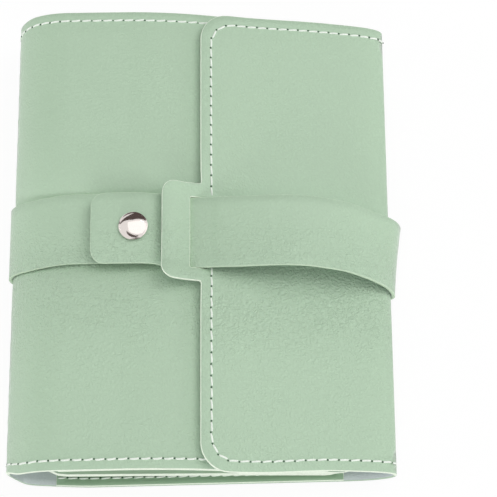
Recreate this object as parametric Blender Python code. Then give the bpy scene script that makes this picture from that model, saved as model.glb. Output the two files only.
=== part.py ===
"""Earring book: a soft wrap-round case with two perforated leaves, a flap and a snap strap.

The book lies closed on its back. X runs from the spine (-X) to the fore-edge (+X),
Y runs along the spine, from the tail edge (-Y) to the head edge (+Y), and Z is up.
The origin is under the middle of the book, on the surface that it lies on.
"""
import math

import bmesh
import bpy
from mathutils import Vector

MM = 0.001

# Driving dimensions in millimetres
BOOK_LENGTH = 160.0
BOOK_WIDTH = 127.0
BOOK_HEIGHT = 28.0
CLEARANCE = 0.3
SHEET = 1.2
LINING = 0.8
STRAP = 1.2
STRAP_WIDTH = 24.6

SPINE_REACH = 18.5
FOLD_REACH = 18.5
FOLD_HEIGHT = 10.8
FOLD_SHOULDER = 8.0
FOLD_FULLNESS = 4.0

FRONT_DROP = 34.29
FRONT_MARGIN = 10.0
COVER_CORNER = 9.0
LINING_MARGIN = 1.5

FLAP_EDGE = 0.8
FLAP_ROOM = 0.8
FLAP_LINING_MARGIN = 22.5
FLAP_FOLD_MARGIN = 14.5
FLAP_CORNER = 9.5

WRAP_SHIFT = -1.0
KEEPER_LENGTH = 34.8
KEEPER_CORNER = 4.5
KEEPER_RISE = 4.5
SLOT_START = -2.5
SLOT_END = 3.0
SLOT_LENGTH = 25.5
SLOT_LEAD = 0.5

TAIL_CORNER = 4.8
TAIL_DROOP = 1.4
ARCH_HEIGHT = 12.9
STRAP_DRIFT = -6.2

LEAF = 1.4
LEAF_LENGTH = 158.0
LEAF_MARGIN = 4.0
LEAF_TIP_RISE = 5.0
LEAF_CORNER = 9.0
LEAF_START = 1.15
PAGE_FOLD_DEPTH = 4.8
HOLE_RADIUS = 0.6
HOLE_PAIR_GAP = 9.0
HOLE_ROWS = 6
HOLE_COLUMNS = 4
HOLE_ROW_PITCH = 24.0
HOLE_COLUMN_PITCH = 22.0
HOLE_FIRST_COLUMN = 22.0

BINDING_MARGIN = 5.0
BINDING_HALF_WIDTH = 2.4
BINDING_THICKNESS = 0.6
PAGE_FOLD_HALF_WIDTH = 0.7
PAGE_FOLD_NOSE = 0.75
RIVET_MARGIN = 17.5
RIVET_HEAD = 2.8
RIVET_HEAD_HEIGHT = 0.9
RIVET_SHANK = 0.35
RIVET_TAIL = 1.6
RIVET_TAIL_THICKNESS = 0.3
RIVET_NOTCH = 3.5

SNAP_RISE = 2.6
CAP_RADIUS = 4.8
CAP_HEIGHT = 2.0
CAP_RIM = 0.5
POST_RADIUS = 1.5
SOCKET_RADIUS = 4.3
SOCKET_HOLE = 2.3
SOCKET_HEIGHT = 1.2
STUD_RADIUS = 4.3
STUD_BASE = 0.3
STUD_BALL = 1.7
STUD_NECK = 1.3
STUD_HEIGHT = 1.3
STUD_HEAD = 3.2
STUD_HEAD_THICKNESS = 0.4

THREAD_WIDTH = 0.7
THREAD_HEIGHT = 0.35
SEAM_LIFT = 0.12
SEAM_INSET = 3.2
FLAP_SEAM_INSET = 3.6

TURN_SIDES = 28
CURVE_STEPS = 12

# Heights and places that follow from the driving dimensions
BACK_FACE = STRAP + CLEARANCE
SPINE_X = -BOOK_WIDTH / 2
FORE_X = BOOK_WIDTH / 2
FRONT_FALL = FRONT_DROP / BOOK_WIDTH
FALL_START = -0.20472 * BOOK_WIDTH
FALL_BLEND = 0.25197 * BOOK_WIDTH
KEEPER_END = -0.09528 * BOOK_WIDTH
BAND_END = -0.05512 * BOOK_WIDTH
TAIL_START = -0.10551 * BOOK_WIDTH
TAIL_END = -0.2811 * BOOK_WIDTH
ARCH_START = -0.10079 * BOOK_WIDTH
ARCH_REACH = 0.47244 * BOOK_WIDTH
HINGE_X = -0.10315 * BOOK_WIDTH
SNAP_X = -0.16693 * BOOK_WIDTH
BINDING_LENGTH = BOOK_LENGTH - 2 * BINDING_MARGIN
RIVET_SPAN = BOOK_LENGTH - 2 * RIVET_MARGIN
FRONT_END = FORE_X - FRONT_MARGIN
FLAP_LINING_END = FORE_X - FLAP_LINING_MARGIN
FLAP_FOLD_START = FORE_X - FLAP_FOLD_MARGIN
LEAF_END = FRONT_END - LEAF_MARGIN
PAGE_FOLD_X = SPINE_X + PAGE_FOLD_DEPTH
SPINE_CENTRE_X = SPINE_X + SPINE_REACH
FOLD_CENTRE_X = FORE_X - FOLD_REACH
SPINE_RISE = (BOOK_HEIGHT - BACK_FACE) / 2
SPINE_MID = BACK_FACE + SPINE_RISE
FOLD_RISE = FOLD_HEIGHT / 2
FOLD_MID = BACK_FACE + FOLD_RISE
HALF = BOOK_LENGTH / 2
STRAP_HALF = STRAP_WIDTH / 2
SNAP = (SNAP_X, WRAP_SHIFT, 0)
BAND_LOW = CLEARANCE
TAIL_LOW = BAND_LOW + STRAP + CLEARANCE
FLAP_LOW = FLAP_ROOM + LINING + CLEARANCE
FLAP_TOP = FLAP_LOW + SHEET
ARCH_LOW = FLAP_TOP + CLEARANCE
INNER_FACE = SHEET + CLEARANCE
LEAF_TIP_HEIGHT = BACK_FACE + LEAF_TIP_RISE


def clear_scene():
    """Take every object out of the scene."""
    for item in list(bpy.data.objects):
        bpy.data.objects.remove(item, do_unlink=True)


def make_material(name, colour, roughness, metallic=0.0):
    """A Principled material in one linear colour."""
    material = bpy.data.materials.new(name)
    material.use_nodes = True
    shader = material.node_tree.nodes["Principled BSDF"]
    shader.inputs["Base Color"].default_value = (*colour, 1.0)
    shader.inputs["Roughness"].default_value = roughness
    shader.inputs["Metallic"].default_value = metallic
    return material


def make_axis(name, place, parent=None):
    """An empty on a joint's axis, which carries the pieces that turn about it."""
    axis = bpy.data.objects.new(name, None)
    axis.empty_display_size = 10 * MM
    bpy.context.collection.objects.link(axis)
    world = Vector(place) * MM
    axis["world"] = tuple(world)
    axis.parent = parent
    axis.location = world - Vector(parent["world"]) if parent else world
    return axis


def add_piece(name, points, faces, material, carrier=None):
    """Link one closed mesh, given in millimetres of the book's frame, under its carrier."""
    origin = Vector(carrier["world"]) if carrier else Vector((0, 0, 0))
    mesh = bpy.data.meshes.new(name)
    mesh.from_pydata([Vector(p) * MM - origin for p in points], [], faces)
    work = bmesh.new()
    work.from_mesh(mesh)
    bmesh.ops.recalc_face_normals(work, faces=work.faces)
    work.to_mesh(mesh)
    work.free()
    mesh.materials.append(material)
    piece = bpy.data.objects.new(name, mesh)
    bpy.context.collection.objects.link(piece)
    piece.parent = carrier
    return piece


def smooth_round(piece):
    """Shade a round piece smooth, with its rims left sharp."""
    piece.data.shade_smooth()
    piece.data.set_sharp_from_angle(angle=math.radians(35))


def cut(piece, name, cutter_points, cutter_faces, carrier=None):
    """Take a closed cutter out of a piece with an exact Boolean."""
    cutter = add_piece(name, cutter_points, cutter_faces, piece.data.materials[0], carrier)
    cutter.hide_render = True
    cutter.display_type = "WIRE"
    boolean = piece.modifiers.new(name, "BOOLEAN")
    boolean.operation = "DIFFERENCE"
    boolean.solver = "EXACT"
    boolean.object = cutter
    return cutter


def box_mesh(low, high):
    """The points and faces of a box."""
    points = [(x, y, z) for z in (low[2], high[2]) for y in (low[1], high[1]) for x in (low[0], high[0])]
    faces = [(0, 2, 3, 1), (4, 5, 7, 6), (0, 1, 5, 4), (2, 6, 7, 3), (0, 4, 6, 2), (1, 3, 7, 5)]
    return points, faces


def turned_mesh(profile, centre, along="z", sides=TURN_SIDES):
    """Turn (radius, height) points about an axis; a radius of 0 closes the shape at a pole."""
    points, rings = [], []
    for radius, height in profile:
        ring = []
        count = 1 if radius == 0 else sides
        for i in range(count):
            angle = 2 * math.pi * i / sides
            a, b = radius * math.cos(angle), radius * math.sin(angle)
            local = (a, b, height) if along == "z" else (height, a, b)
            ring.append(len(points))
            points.append(tuple(c + v for c, v in zip(centre, local)))
        rings.append(ring)
    closed = profile[0][0] != 0
    faces = []
    pairs = list(zip(rings, rings[1:] + rings[:1])) if closed else list(zip(rings, rings[1:]))
    for low, high in pairs:
        for i in range(sides):
            j = (i + 1) % sides
            if len(low) == 1:
                faces.append((low[0], high[i], high[j]))
            elif len(high) == 1:
                faces.append((low[i], low[j], high[0]))
            else:
                faces.append((low[i], low[j], high[j], high[i]))
    return points, faces


def joined(parts):
    """Several separate closed shapes as one list of points and one of faces."""
    points, faces = [], []
    for part_points, part_faces in parts:
        first = len(points)
        points.extend(part_points)
        faces.extend(tuple(first + i for i in face) for face in part_faces)
    return points, faces


class Path:
    """A line of (x, z) points that a sheet follows; offsets keep parallel facets.

    Distances along the path are in millimetres. The left side of the path, looking along it, is
    the side of positive offsets.
    """

    def __init__(self, points):
        self.points = [Vector(p) for p in points]
        steps = [b - a for a, b in zip(self.points, self.points[1:])]
        self.at = [0.0]
        for step in steps:
            self.at.append(self.at[-1] + step.length)
        normals = [Vector((-s.y, s.x)).normalized() for s in steps]
        self.mitre = [normals[0]]
        for a, b in zip(normals, normals[1:]):
            middle = (a + b).normalized()
            self.mitre.append(middle / middle.dot(b))
        self.mitre.append(normals[-1])

    def place(self, distance, offset=0.0):
        """The (x, z) point at a distance along the path, moved out by an offset."""
        last = len(self.at) - 2
        i = next((k for k in range(last) if self.at[k + 1] >= distance), last)
        share = (distance - self.at[i]) / (self.at[i + 1] - self.at[i])
        point = self.points[i].lerp(self.points[i + 1], share)
        mitre = self.mitre[i].lerp(self.mitre[i + 1], share)
        return point + mitre * offset

    def distance_at_x(self, x):
        """How far along the path its x first passes a value."""
        for i, (a, b) in enumerate(zip(self.points, self.points[1:])):
            if min(a.x, b.x) <= x <= max(a.x, b.x) and a.x != b.x:
                return self.at[i] + (self.at[i + 1] - self.at[i]) * (x - a.x) / (b.x - a.x)
        raise ValueError("the path doesn't reach x = %g" % x)

    def knots(self, start, end, extra=()):
        """The path's own points between two distances, with both ends and any extra ones."""
        inside = [d for d in self.at if start < d < end]
        inside += [d for d in extra if start < d < end]
        ordered = sorted({start, end, *inside})
        kept = [ordered[0]]
        for d in ordered[1:]:
            if d - kept[-1] > 0.02:
                kept.append(d)
        kept[-1] = end
        return kept


def as_function(value):
    """A number as a function of distance, and a function as it is."""
    return value if callable(value) else (lambda distance: value)


def strip_mesh(path, start, end, low, high, half_width, shift=0.0, extra=()):
    """A sheet along a path between two offsets, with its half width given along the path."""
    low, high, half_width, shift = map(as_function, (low, high, half_width, shift))
    points = []
    stations = path.knots(start, end, extra)
    for d in stations:
        under, over = path.place(d, low(d)), path.place(d, high(d))
        near, far = shift(d) - half_width(d), shift(d) + half_width(d)
        points += [(under.x, near, under.y), (under.x, far, under.y)]
        points += [(over.x, far, over.y), (over.x, near, over.y)]
    faces = [(0, 1, 2, 3)]
    for i in range(len(stations) - 1):
        a, b = 4 * i, 4 * (i + 1)
        faces += [(a + k, b + k, b + (k + 1) % 4, a + (k + 1) % 4) for k in range(4)]
    last = 4 * (len(stations) - 1)
    faces.append((last + 3, last + 2, last + 1, last))
    return points, faces


def rounded_end(half, corner, edge, toward):
    """Half width of a sheet whose end at a distance has rounded corners."""

    def width(d):
        depth = (d - edge) * toward
        if depth >= corner:
            return half
        depth = max(depth, 0.0)
        return half - corner + math.sqrt(max(corner**2 - (corner - depth) ** 2, 0.0))

    return width


def corner_stations(corner, edge, toward, steps=6):
    """Distances that draw a rounded corner evenly round its arc."""
    turns = [math.pi / 2 * i / steps for i in range(steps + 1)]
    return [edge + toward * corner * (1 - math.cos(t)) for t in turns]


def eased(value, start, end):
    """0 before start, 1 after end, smooth between."""
    t = min(max((value - start) / (end - start), 0.0), 1.0)
    return t * t * (3 - 2 * t)


def spread(table):
    """A function that runs straight between (distance, value) pairs."""

    def value(d):
        for (d0, v0), (d1, v1) in zip(table, table[1:]):
            if d <= d1:
                return v0 + (v1 - v0) * max(d - d0, 0.0) / (d1 - d0)
        return table[-1][1]

    return value


def smooth_line(points, steps=4):
    """Points on a Catmull-Rom curve through the given (x, z) points."""
    ends = [points[0]] + list(points) + [points[-1]]
    line = []
    for p0, p1, p2, p3 in zip(ends, ends[1:], ends[2:], ends[3:]):
        for k in range(steps):
            t = k / steps
            line.append(
                tuple(
                    0.5 * (2 * b + (c - a) * t + (2 * a - 5 * b + 4 * c - d) * t * t
                           + (3 * b - a - 3 * c + d) * t**3)
                    for a, b, c, d in zip(p0, p1, p2, p3)
                )
            )
    line.append(tuple(points[-1]))
    return line


# The lines that the sheets follow


def ellipse_points(centre_x, centre_z, reach_x, reach_z, start, end, steps=CURVE_STEPS):
    """Points on an ellipse; the angle is 0 at +X and grows towards +Z."""
    turns = [start + (end - start) * i / steps for i in range(steps + 1)]
    return [(centre_x + reach_x * math.cos(t), centre_z + reach_z * math.sin(t)) for t in turns]


def front_height(x):
    """Height of the front cover's outer face, which falls from the spine to the fore-edge."""
    run = max(x - FALL_START, 0.0)
    if run < FALL_BLEND:
        return BOOK_HEIGHT - FRONT_FALL * run * run / (2 * FALL_BLEND)
    return BOOK_HEIGHT - FRONT_FALL * (run - FALL_BLEND / 2)


def front_path():
    """The front cover's outer face, from the spine to the fore-edge; offsets go up."""
    count = 26
    reach = FORE_X - SPINE_CENTRE_X
    xs = [SPINE_CENTRE_X + reach * i / count for i in range(count + 1)]
    return Path([(x, front_height(x)) for x in xs])


def spine_path():
    """The spine's outer face, from the back round to the front; offsets go outwards."""
    points = ellipse_points(SPINE_CENTRE_X, SPINE_MID, SPINE_REACH, SPINE_RISE,
                            -math.pi / 2, -3 * math.pi / 2, 2 * CURVE_STEPS)
    return Path(points)


def fold_path(front):
    """The fore-edge fold's outer face, from the flap's end down to the back; offsets go outwards."""
    start = front.place(front.distance_at_x(FLAP_FOLD_START), FLAP_TOP)
    slope = Vector((1.0, -FRONT_FALL)).normalized()
    tip = Vector((FORE_X, FOLD_MID))
    bend = [start, start + slope * FOLD_SHOULDER, tip + Vector((0, FOLD_FULLNESS)), tip]
    upper = []
    for i in range(CURVE_STEPS):
        t = i / CURVE_STEPS
        weights = ((1 - t) ** 3, 3 * t * (1 - t) ** 2, 3 * t * t * (1 - t), t**3)
        upper.append(sum((w * p for w, p in zip(weights, bend)), Vector((0, 0))))
    lower = ellipse_points(FOLD_CENTRE_X, FOLD_MID, FOLD_REACH, FOLD_RISE, 0, -math.pi / 2)
    return Path([tuple(p) for p in upper] + lower)


FRONT = front_path()
SPINE = spine_path()
FOLD = fold_path(FRONT)
BACK = Path([(SPINE_CENTRE_X, BACK_FACE), (FOLD_CENTRE_X, BACK_FACE)])
BACK_LONG = Path([(SPINE_CENTRE_X - LINING_MARGIN, BACK_FACE), (FOLD_CENTRE_X + LINING_MARGIN, BACK_FACE)])
FRONT_LENGTH = FRONT.distance_at_x(FRONT_END)
FLAP_AT = FRONT.distance_at_x(FLAP_EDGE)

# Joint axes: each lies just inside the corner of the two faces that it joins, where a bend that
# flattens keeps its length
SPINE_INSET = 3.3
FOLD_INSET = 1.85
FLAP_INSET = 0.8
SPINE_AXIS = (SPINE_X + SPINE_INSET, 0, BACK_FACE + SPINE_INSET)
FRONT_AXIS = (SPINE_X + SPINE_INSET, 0, BOOK_HEIGHT - SPINE_INSET)
FORE_AXIS = (FORE_X - FOLD_INSET, 0, BACK_FACE + FOLD_INSET)
FLAP_AXIS = (FORE_X - FLAP_INSET, 0, BACK_FACE + FOLD_HEIGHT - 2 * FLAP_INSET)
LEAF_AXIS = (PAGE_FOLD_X, 0, SPINE_MID)
TAIL_HINGE = FRONT.place(FRONT.distance_at_x(HINGE_X), TAIL_LOW + STRAP)
TAIL_AXIS = (TAIL_HINGE.x, 0, TAIL_HINGE.y)


def seam_mesh(path, plan, lift, side=1):
    """One thread laid along a plan line of (distance, y) points on a sheet's face.

    side is 1 for a seam on the face of positive offsets and -1 for the other face.
    """
    spots = []
    for (d0, y0), (d1, y1) in zip(plan, plan[1:]):
        spots.append((d0, y0))
        crossed = sorted((d for d in path.at if min(d0, d1) < d < max(d0, d1)), reverse=d1 < d0)
        spots += [(d, y0 + (y1 - y0) * (d - d0) / (d1 - d0)) for d in crossed]
    spots.append(plan[-1])
    points = []
    for i, (d, y) in enumerate(spots):
        before, after = spots[max(i - 1, 0)], spots[min(i + 1, len(spots) - 1)]
        along = Vector((after[0] - before[0], after[1] - before[1])).normalized()
        across = Vector((-along.y, along.x)) * THREAD_WIDTH / 2
        for sign, rise in ((-1, lift), (1, lift), (1, lift + THREAD_HEIGHT), (-1, lift + THREAD_HEIGHT)):
            spot = path.place(min(max(d + sign * across.x, 0.0), path.at[-1]), side * rise)
            points.append((spot.x, y + sign * across.y, spot.y))
    faces = [(0, 1, 2, 3)]
    for i in range(len(spots) - 1):
        a, b = 4 * i, 4 * (i + 1)
        faces += [(a + k, b + k, b + (k + 1) % 4, a + (k + 1) % 4) for k in range(4)]
    last = 4 * (len(spots) - 1)
    faces.append((last + 3, last + 2, last + 1, last))
    return points, faces


def add_edge_seams(name, path, start, end, lift, carrier=None):
    """The two seams of a panel, one along its tail edge and one along its head edge."""
    for edge, y in (("tail_edge", -HALF + SEAM_INSET), ("head_edge", HALF - SEAM_INSET)):
        points, faces = seam_mesh(path, [(start, y), (end, y)], lift)
        add_piece(name + "_" + edge, points, faces, THREAD, carrier)


def rounded_plan(edge, inset, corner, half, far_end, toward):
    """Plan line of a seam: along one side, round two corners at an edge, and back."""
    radius = corner - inset
    line_at = edge + toward * inset
    side = half - inset
    centre = line_at + toward * radius
    arc = [math.pi / 2 * i / 6 for i in range(7)]
    near = [(centre - toward * radius * math.sin(t), -(side - radius) - radius * math.cos(t))
            for t in arc]
    far = [(d, -y) for d, y in reversed(near)]
    return [(far_end, -side)] + near + far + [(far_end, side)]


# Materials
GREEN = make_material("green_leatherette", (0.434, 0.584, 0.429), 0.55)
INNER_GREEN = make_material("green_lining", (0.39, 0.53, 0.38), 0.6)
PAGE = make_material("page_leatherette", (0.42, 0.56, 0.41), 0.6)
THREAD = make_material("white_thread", (0.78, 0.91, 0.78), 0.7)
CHROME = make_material("chromed_steel", (0.72, 0.71, 0.70), 0.12, 1.0)
BINDING = make_material("binding_tape", (0.40, 0.50, 0.51), 0.7)


# Back cover: the sheet, its lining, its seam, and the strap that crosses it


def make_back():
    half = HALF
    points, faces = strip_mesh(BACK, BACK.at[0], BACK.at[-1] - CLEARANCE / 2, 0, SHEET, half)
    add_piece("back_cover", points, faces, GREEN)
    long_end = BACK_LONG.at[-1]
    points, faces = strip_mesh(BACK_LONG, 0, long_end, INNER_FACE, INNER_FACE + LINING, half)
    add_piece("back_lining", points, faces, INNER_GREEN)
    add_edge_seams("back_seam", BACK_LONG, LINING_MARGIN, long_end - LINING_MARGIN,
                   INNER_FACE + LINING + SEAM_LIFT)


# The strap's slant: it runs level over the spine and the front, and drifts towards the tail edge
# where it goes round the fore-edge. Each pair is a share of the arch's reach back from the
# fore-edge and a share of the whole drift.
ARCH_DRIFT = [(1.0, 0.1774), (0.8333, 0.2581), (0.475, 0.2581), (0.375, 0.3226), (0.25, 0.4194),
              (0.1417, 0.5968), (0.0417, 0.7742)]


def make_strap_back():
    line = Path([(SPINE_CENTRE_X, 0), (FOLD_CENTRE_X - CLEARANCE, 0)])
    drift = spread([(0, 0.0), (line.at[-1], STRAP_DRIFT)])
    points, faces = strip_mesh(line, 0, line.at[-1], 0, STRAP, STRAP_HALF, drift)
    add_piece("strap_back", points, faces, GREEN)


# Spine: the sheet and strap that bend round it, the binding strip, the page fold and its rivets


def page_fold_mesh(low, high):
    """The fold that both leaves share: a bar along the spine with a rounded nose."""
    half = PAGE_FOLD_HALF_WIDTH
    upper = [(low, half), (PAGE_FOLD_X, half), (high - 0.4 * PAGE_FOLD_NOSE, 0.78 * half),
             (high, 0.36 * half)]
    outline = upper + [(x, -z) for x, z in reversed(upper)]
    count = len(outline)
    points = [(x, y, SPINE_MID + z) for y in (-BINDING_LENGTH / 2, BINDING_LENGTH / 2) for x, z in outline]
    faces = [tuple(range(count)), tuple(range(2 * count - 1, count - 1, -1))]
    faces += [(i, (i + 1) % count, count + (i + 1) % count, count + i) for i in range(count)]
    return points, faces


def make_spine(carrier):
    gap = CLEARANCE / 2
    total = SPINE.at[-1]
    points, faces = strip_mesh(SPINE, gap, total - gap, -SHEET, 0, HALF)
    add_piece("spine_cover", points, faces, GREEN, carrier)
    points, faces = strip_mesh(SPINE, gap, total - gap, CLEARANCE, CLEARANCE + STRAP, STRAP_HALF)
    add_piece("strap_spine", points, faces, GREEN, carrier)
    add_edge_seams("spine_seam", SPINE, gap, total - gap, SEAM_LIFT, carrier)

    middle = total / 2
    outer = -SHEET - CLEARANCE - RIVET_TAIL_THICKNESS - CLEARANCE / 2
    points, faces = strip_mesh(SPINE, middle - BINDING_HALF_WIDTH, middle + BINDING_HALF_WIDTH,
                               outer - BINDING_THICKNESS, outer, BINDING_LENGTH / 2)
    strip = add_piece("binding_strip", points, faces, BINDING, carrier)
    strip_face = SPINE_X - outer + BINDING_THICKNESS
    fold_low = strip_face + CLEARANCE
    fold_high = PAGE_FOLD_X + PAGE_FOLD_NOSE
    points, faces = page_fold_mesh(fold_low, fold_high)
    bead = add_piece("page_fold", points, faces, PAGE, carrier)
    tail_low = SPINE_X + SHEET + CLEARANCE
    head_low = fold_high + CLEARANCE
    for edge, y in (("tail_edge", -RIVET_SPAN / 2), ("head_edge", RIVET_SPAN / 2)):
        name = "binding_rivet_" + edge
        dome = [(RIVET_HEAD * math.cos(t), head_low + RIVET_HEAD_HEIGHT * (0.35 + 0.65 * math.sin(t)))
                for t in (0, math.pi / 8, math.pi / 4, 3 * math.pi / 8)]
        profile = [(0, tail_low), (RIVET_TAIL, tail_low), (RIVET_TAIL, tail_low + RIVET_TAIL_THICKNESS),
                   (RIVET_SHANK, tail_low + RIVET_TAIL_THICKNESS),
                   (RIVET_SHANK, head_low), (RIVET_HEAD, head_low)]
        profile += dome + [(0, head_low + RIVET_HEAD_HEIGHT)]
        points, faces = turned_mesh(profile, (0, y, SPINE_MID), "x", 16)
        rivet = add_piece(name, points, faces, CHROME, carrier)
        smooth_round(rivet)
        hole = RIVET_SHANK + CLEARANCE / 3
        drill = [(0, tail_low), (hole, tail_low), (hole, head_low), (0, head_low)]
        points, faces = turned_mesh(drill, (0, y, SPINE_MID), "x", 12)
        cut(strip, name + "_strip_hole", points, faces, carrier)
        cut(bead, name + "_fold_hole", points, faces, carrier)


# Front cover: the sheet, its lining, its seam, and the strap's band with the snap's stud


def front_mesh(low, high, start, end, corner):
    width = rounded_end(HALF, corner, end, -1)
    return strip_mesh(FRONT, start, end, low, high, width, extra=corner_stations(corner, end, -1))


def make_front(carrier):
    gap = CLEARANCE / 2
    points, faces = front_mesh(-SHEET, 0, gap, FRONT_LENGTH, COVER_CORNER)
    add_piece("front_cover", points, faces, GREEN, carrier)
    points, faces = front_mesh(-INNER_FACE - LINING, -INNER_FACE, gap, FRONT_LENGTH - LINING_MARGIN,
                               COVER_CORNER)
    add_piece("front_lining", points, faces, INNER_GREEN, carrier)
    plan = rounded_plan(FRONT_LENGTH, SEAM_INSET, COVER_CORNER, HALF, gap, -1)
    points, faces = seam_mesh(FRONT, plan, SEAM_LIFT)
    add_piece("front_seam", points, faces, THREAD, carrier)

    band_end = FRONT.distance_at_x(BAND_END)
    points, faces = strip_mesh(FRONT, gap, band_end, BAND_LOW, BAND_LOW + STRAP, STRAP_HALF)
    band = add_piece("strap_band", points, faces, GREEN, carrier)

    spot = FRONT.place(FRONT.distance_at_x(SNAP_X), BAND_LOW)
    low, high = spot.y, spot.y + STRAP
    head_low = low + CLEARANCE / 3
    head_high = head_low + STUD_HEAD_THICKNESS
    base = high + CLEARANCE
    step = head_high + CLEARANCE / 3
    pocket = [(0, low - 1), (STUD_HEAD + CLEARANCE, low - 1), (STUD_HEAD + CLEARANCE, step),
              (STUD_NECK, step), (STUD_NECK, high + 1), (0, high + 1)]
    points, faces = turned_mesh(pocket, SNAP)
    cut(band, "stud_pocket", points, faces, carrier)
    neck = STUD_NECK - CLEARANCE
    bore = neck - CLEARANCE
    rivet = [(0, head_low), (STUD_HEAD, head_low), (STUD_HEAD, head_high), (bore, head_high),
             (bore, base + STUD_BASE + STUD_HEIGHT / 2), (0, base + STUD_BASE + STUD_HEIGHT / 2)]
    points, faces = turned_mesh(rivet, SNAP)
    add_piece("snap_stud_rivet", points, faces, CHROME, carrier)
    top = base + STUD_BASE + STUD_HEIGHT
    points, faces = turned_mesh(stud_profile(base, top, bore + CLEARANCE / 2), SNAP)
    smooth_round(add_piece("snap_stud", points, faces, CHROME, carrier))


def stud_profile(base, top, bore):
    """Profile of the stud: a flanged ball with a blind hole underneath for its rivet."""
    return [(0, top - STUD_HEIGHT / 4), (bore, top - STUD_HEIGHT / 4), (bore, base), (STUD_RADIUS, base),
            (STUD_RADIUS, base + STUD_BASE), (STUD_NECK, base + STUD_BASE),
            (STUD_BALL, base + STUD_BASE + 0.6 * STUD_HEIGHT), (0.8 * STUD_BALL, top), (0, top)]


# Fore-edge: the sheet and strap that bend round it


# Each pair is a share of the arch's reach back from the fore-edge and a share of its height above
# the front cover's face
ARCH_RISE = [(0.925, 0.5039), (0.775, 0.7411), (0.6083, 0.9225), (0.4417, 1.0), (0.275, 0.9535),
             (0.1417, 0.7442), (0.05, 0.4341), (0.0067, 0.1705)]
BEND_BACK = 3.0
SLOT_APPROACH = 0.9


def strap_round_points():
    """Inner face of the strap from the slot, over the flap and round the fore-edge to the back."""
    level = (ARCH_START, (ARCH_START + SLOT_START) / 2, SLOT_START - SLOT_APPROACH)
    under = [FRONT.place(FRONT.distance_at_x(x), TAIL_LOW) for x in level]
    over = FRONT.place(FRONT.distance_at_x(SLOT_END) - SLOT_LEAD, ARCH_LOW)
    rise = []
    for back, height in ARCH_RISE:
        x = FORE_X - back * ARCH_REACH
        rise.append((x, front_height(x) + height * ARCH_HEIGHT))
    return [tuple(p) for p in under] + [tuple(over)] + rise + [(FORE_X + CLEARANCE, FOLD_MID)]


def strap_round_path():
    upper = smooth_line(strap_round_points())
    lower = ellipse_points(FOLD_CENTRE_X, FOLD_MID, FOLD_REACH + CLEARANCE, FOLD_RISE + CLEARANCE,
                           0, -math.pi / 2)
    return Path(upper + lower[1:])


ROUND = strap_round_path()
BEND_START_X = FORE_X - BEND_BACK


def strap_drift():
    """Sideways drift of the strap along its line over the flap and round the fore-edge."""
    reach = max(p.x for p in ROUND.points)
    turn = next(d for d, p in zip(ROUND.at, ROUND.points) if p.x == reach)
    over = [(ROUND.distance_at_x(FORE_X - back * ARCH_REACH), drift * STRAP_DRIFT)
            for back, drift in ARCH_DRIFT]
    return spread([(0, WRAP_SHIFT)] + over + [(turn, STRAP_DRIFT), (ROUND.at[-1] + CLEARANCE, STRAP_DRIFT)])


ROUND_DRIFT = strap_drift()


def make_fore_edge(carrier):
    gap = CLEARANCE / 2
    total = FOLD.at[-1]
    points, faces = strip_mesh(FOLD, gap, total - gap, -SHEET, 0, HALF)
    add_piece("fore_edge_fold", points, faces, GREEN, carrier)
    add_edge_seams("fore_edge_seam", FOLD, gap, total - gap, SEAM_LIFT, carrier)
    start = ROUND.distance_at_x(BEND_START_X) + gap
    points, faces = strip_mesh(ROUND, start, ROUND.at[-1], 0, STRAP, STRAP_HALF, ROUND_DRIFT)
    add_piece("strap_bend", points, faces, GREEN, carrier)


# Flap: the sheet with its keeper and slot, its lining, its seam, and the strap's arch over it


def keeper_offset(distance):
    """Outer offset of the flap's sheet, which rises from the flap on to the keeper."""
    rise = 1 - eased(distance, FRONT.distance_at_x(SLOT_START), FRONT.distance_at_x(FLAP_EDGE + 2))
    return FLAP_TOP + (KEEPER_RISE - FLAP_TOP) * rise


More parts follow.
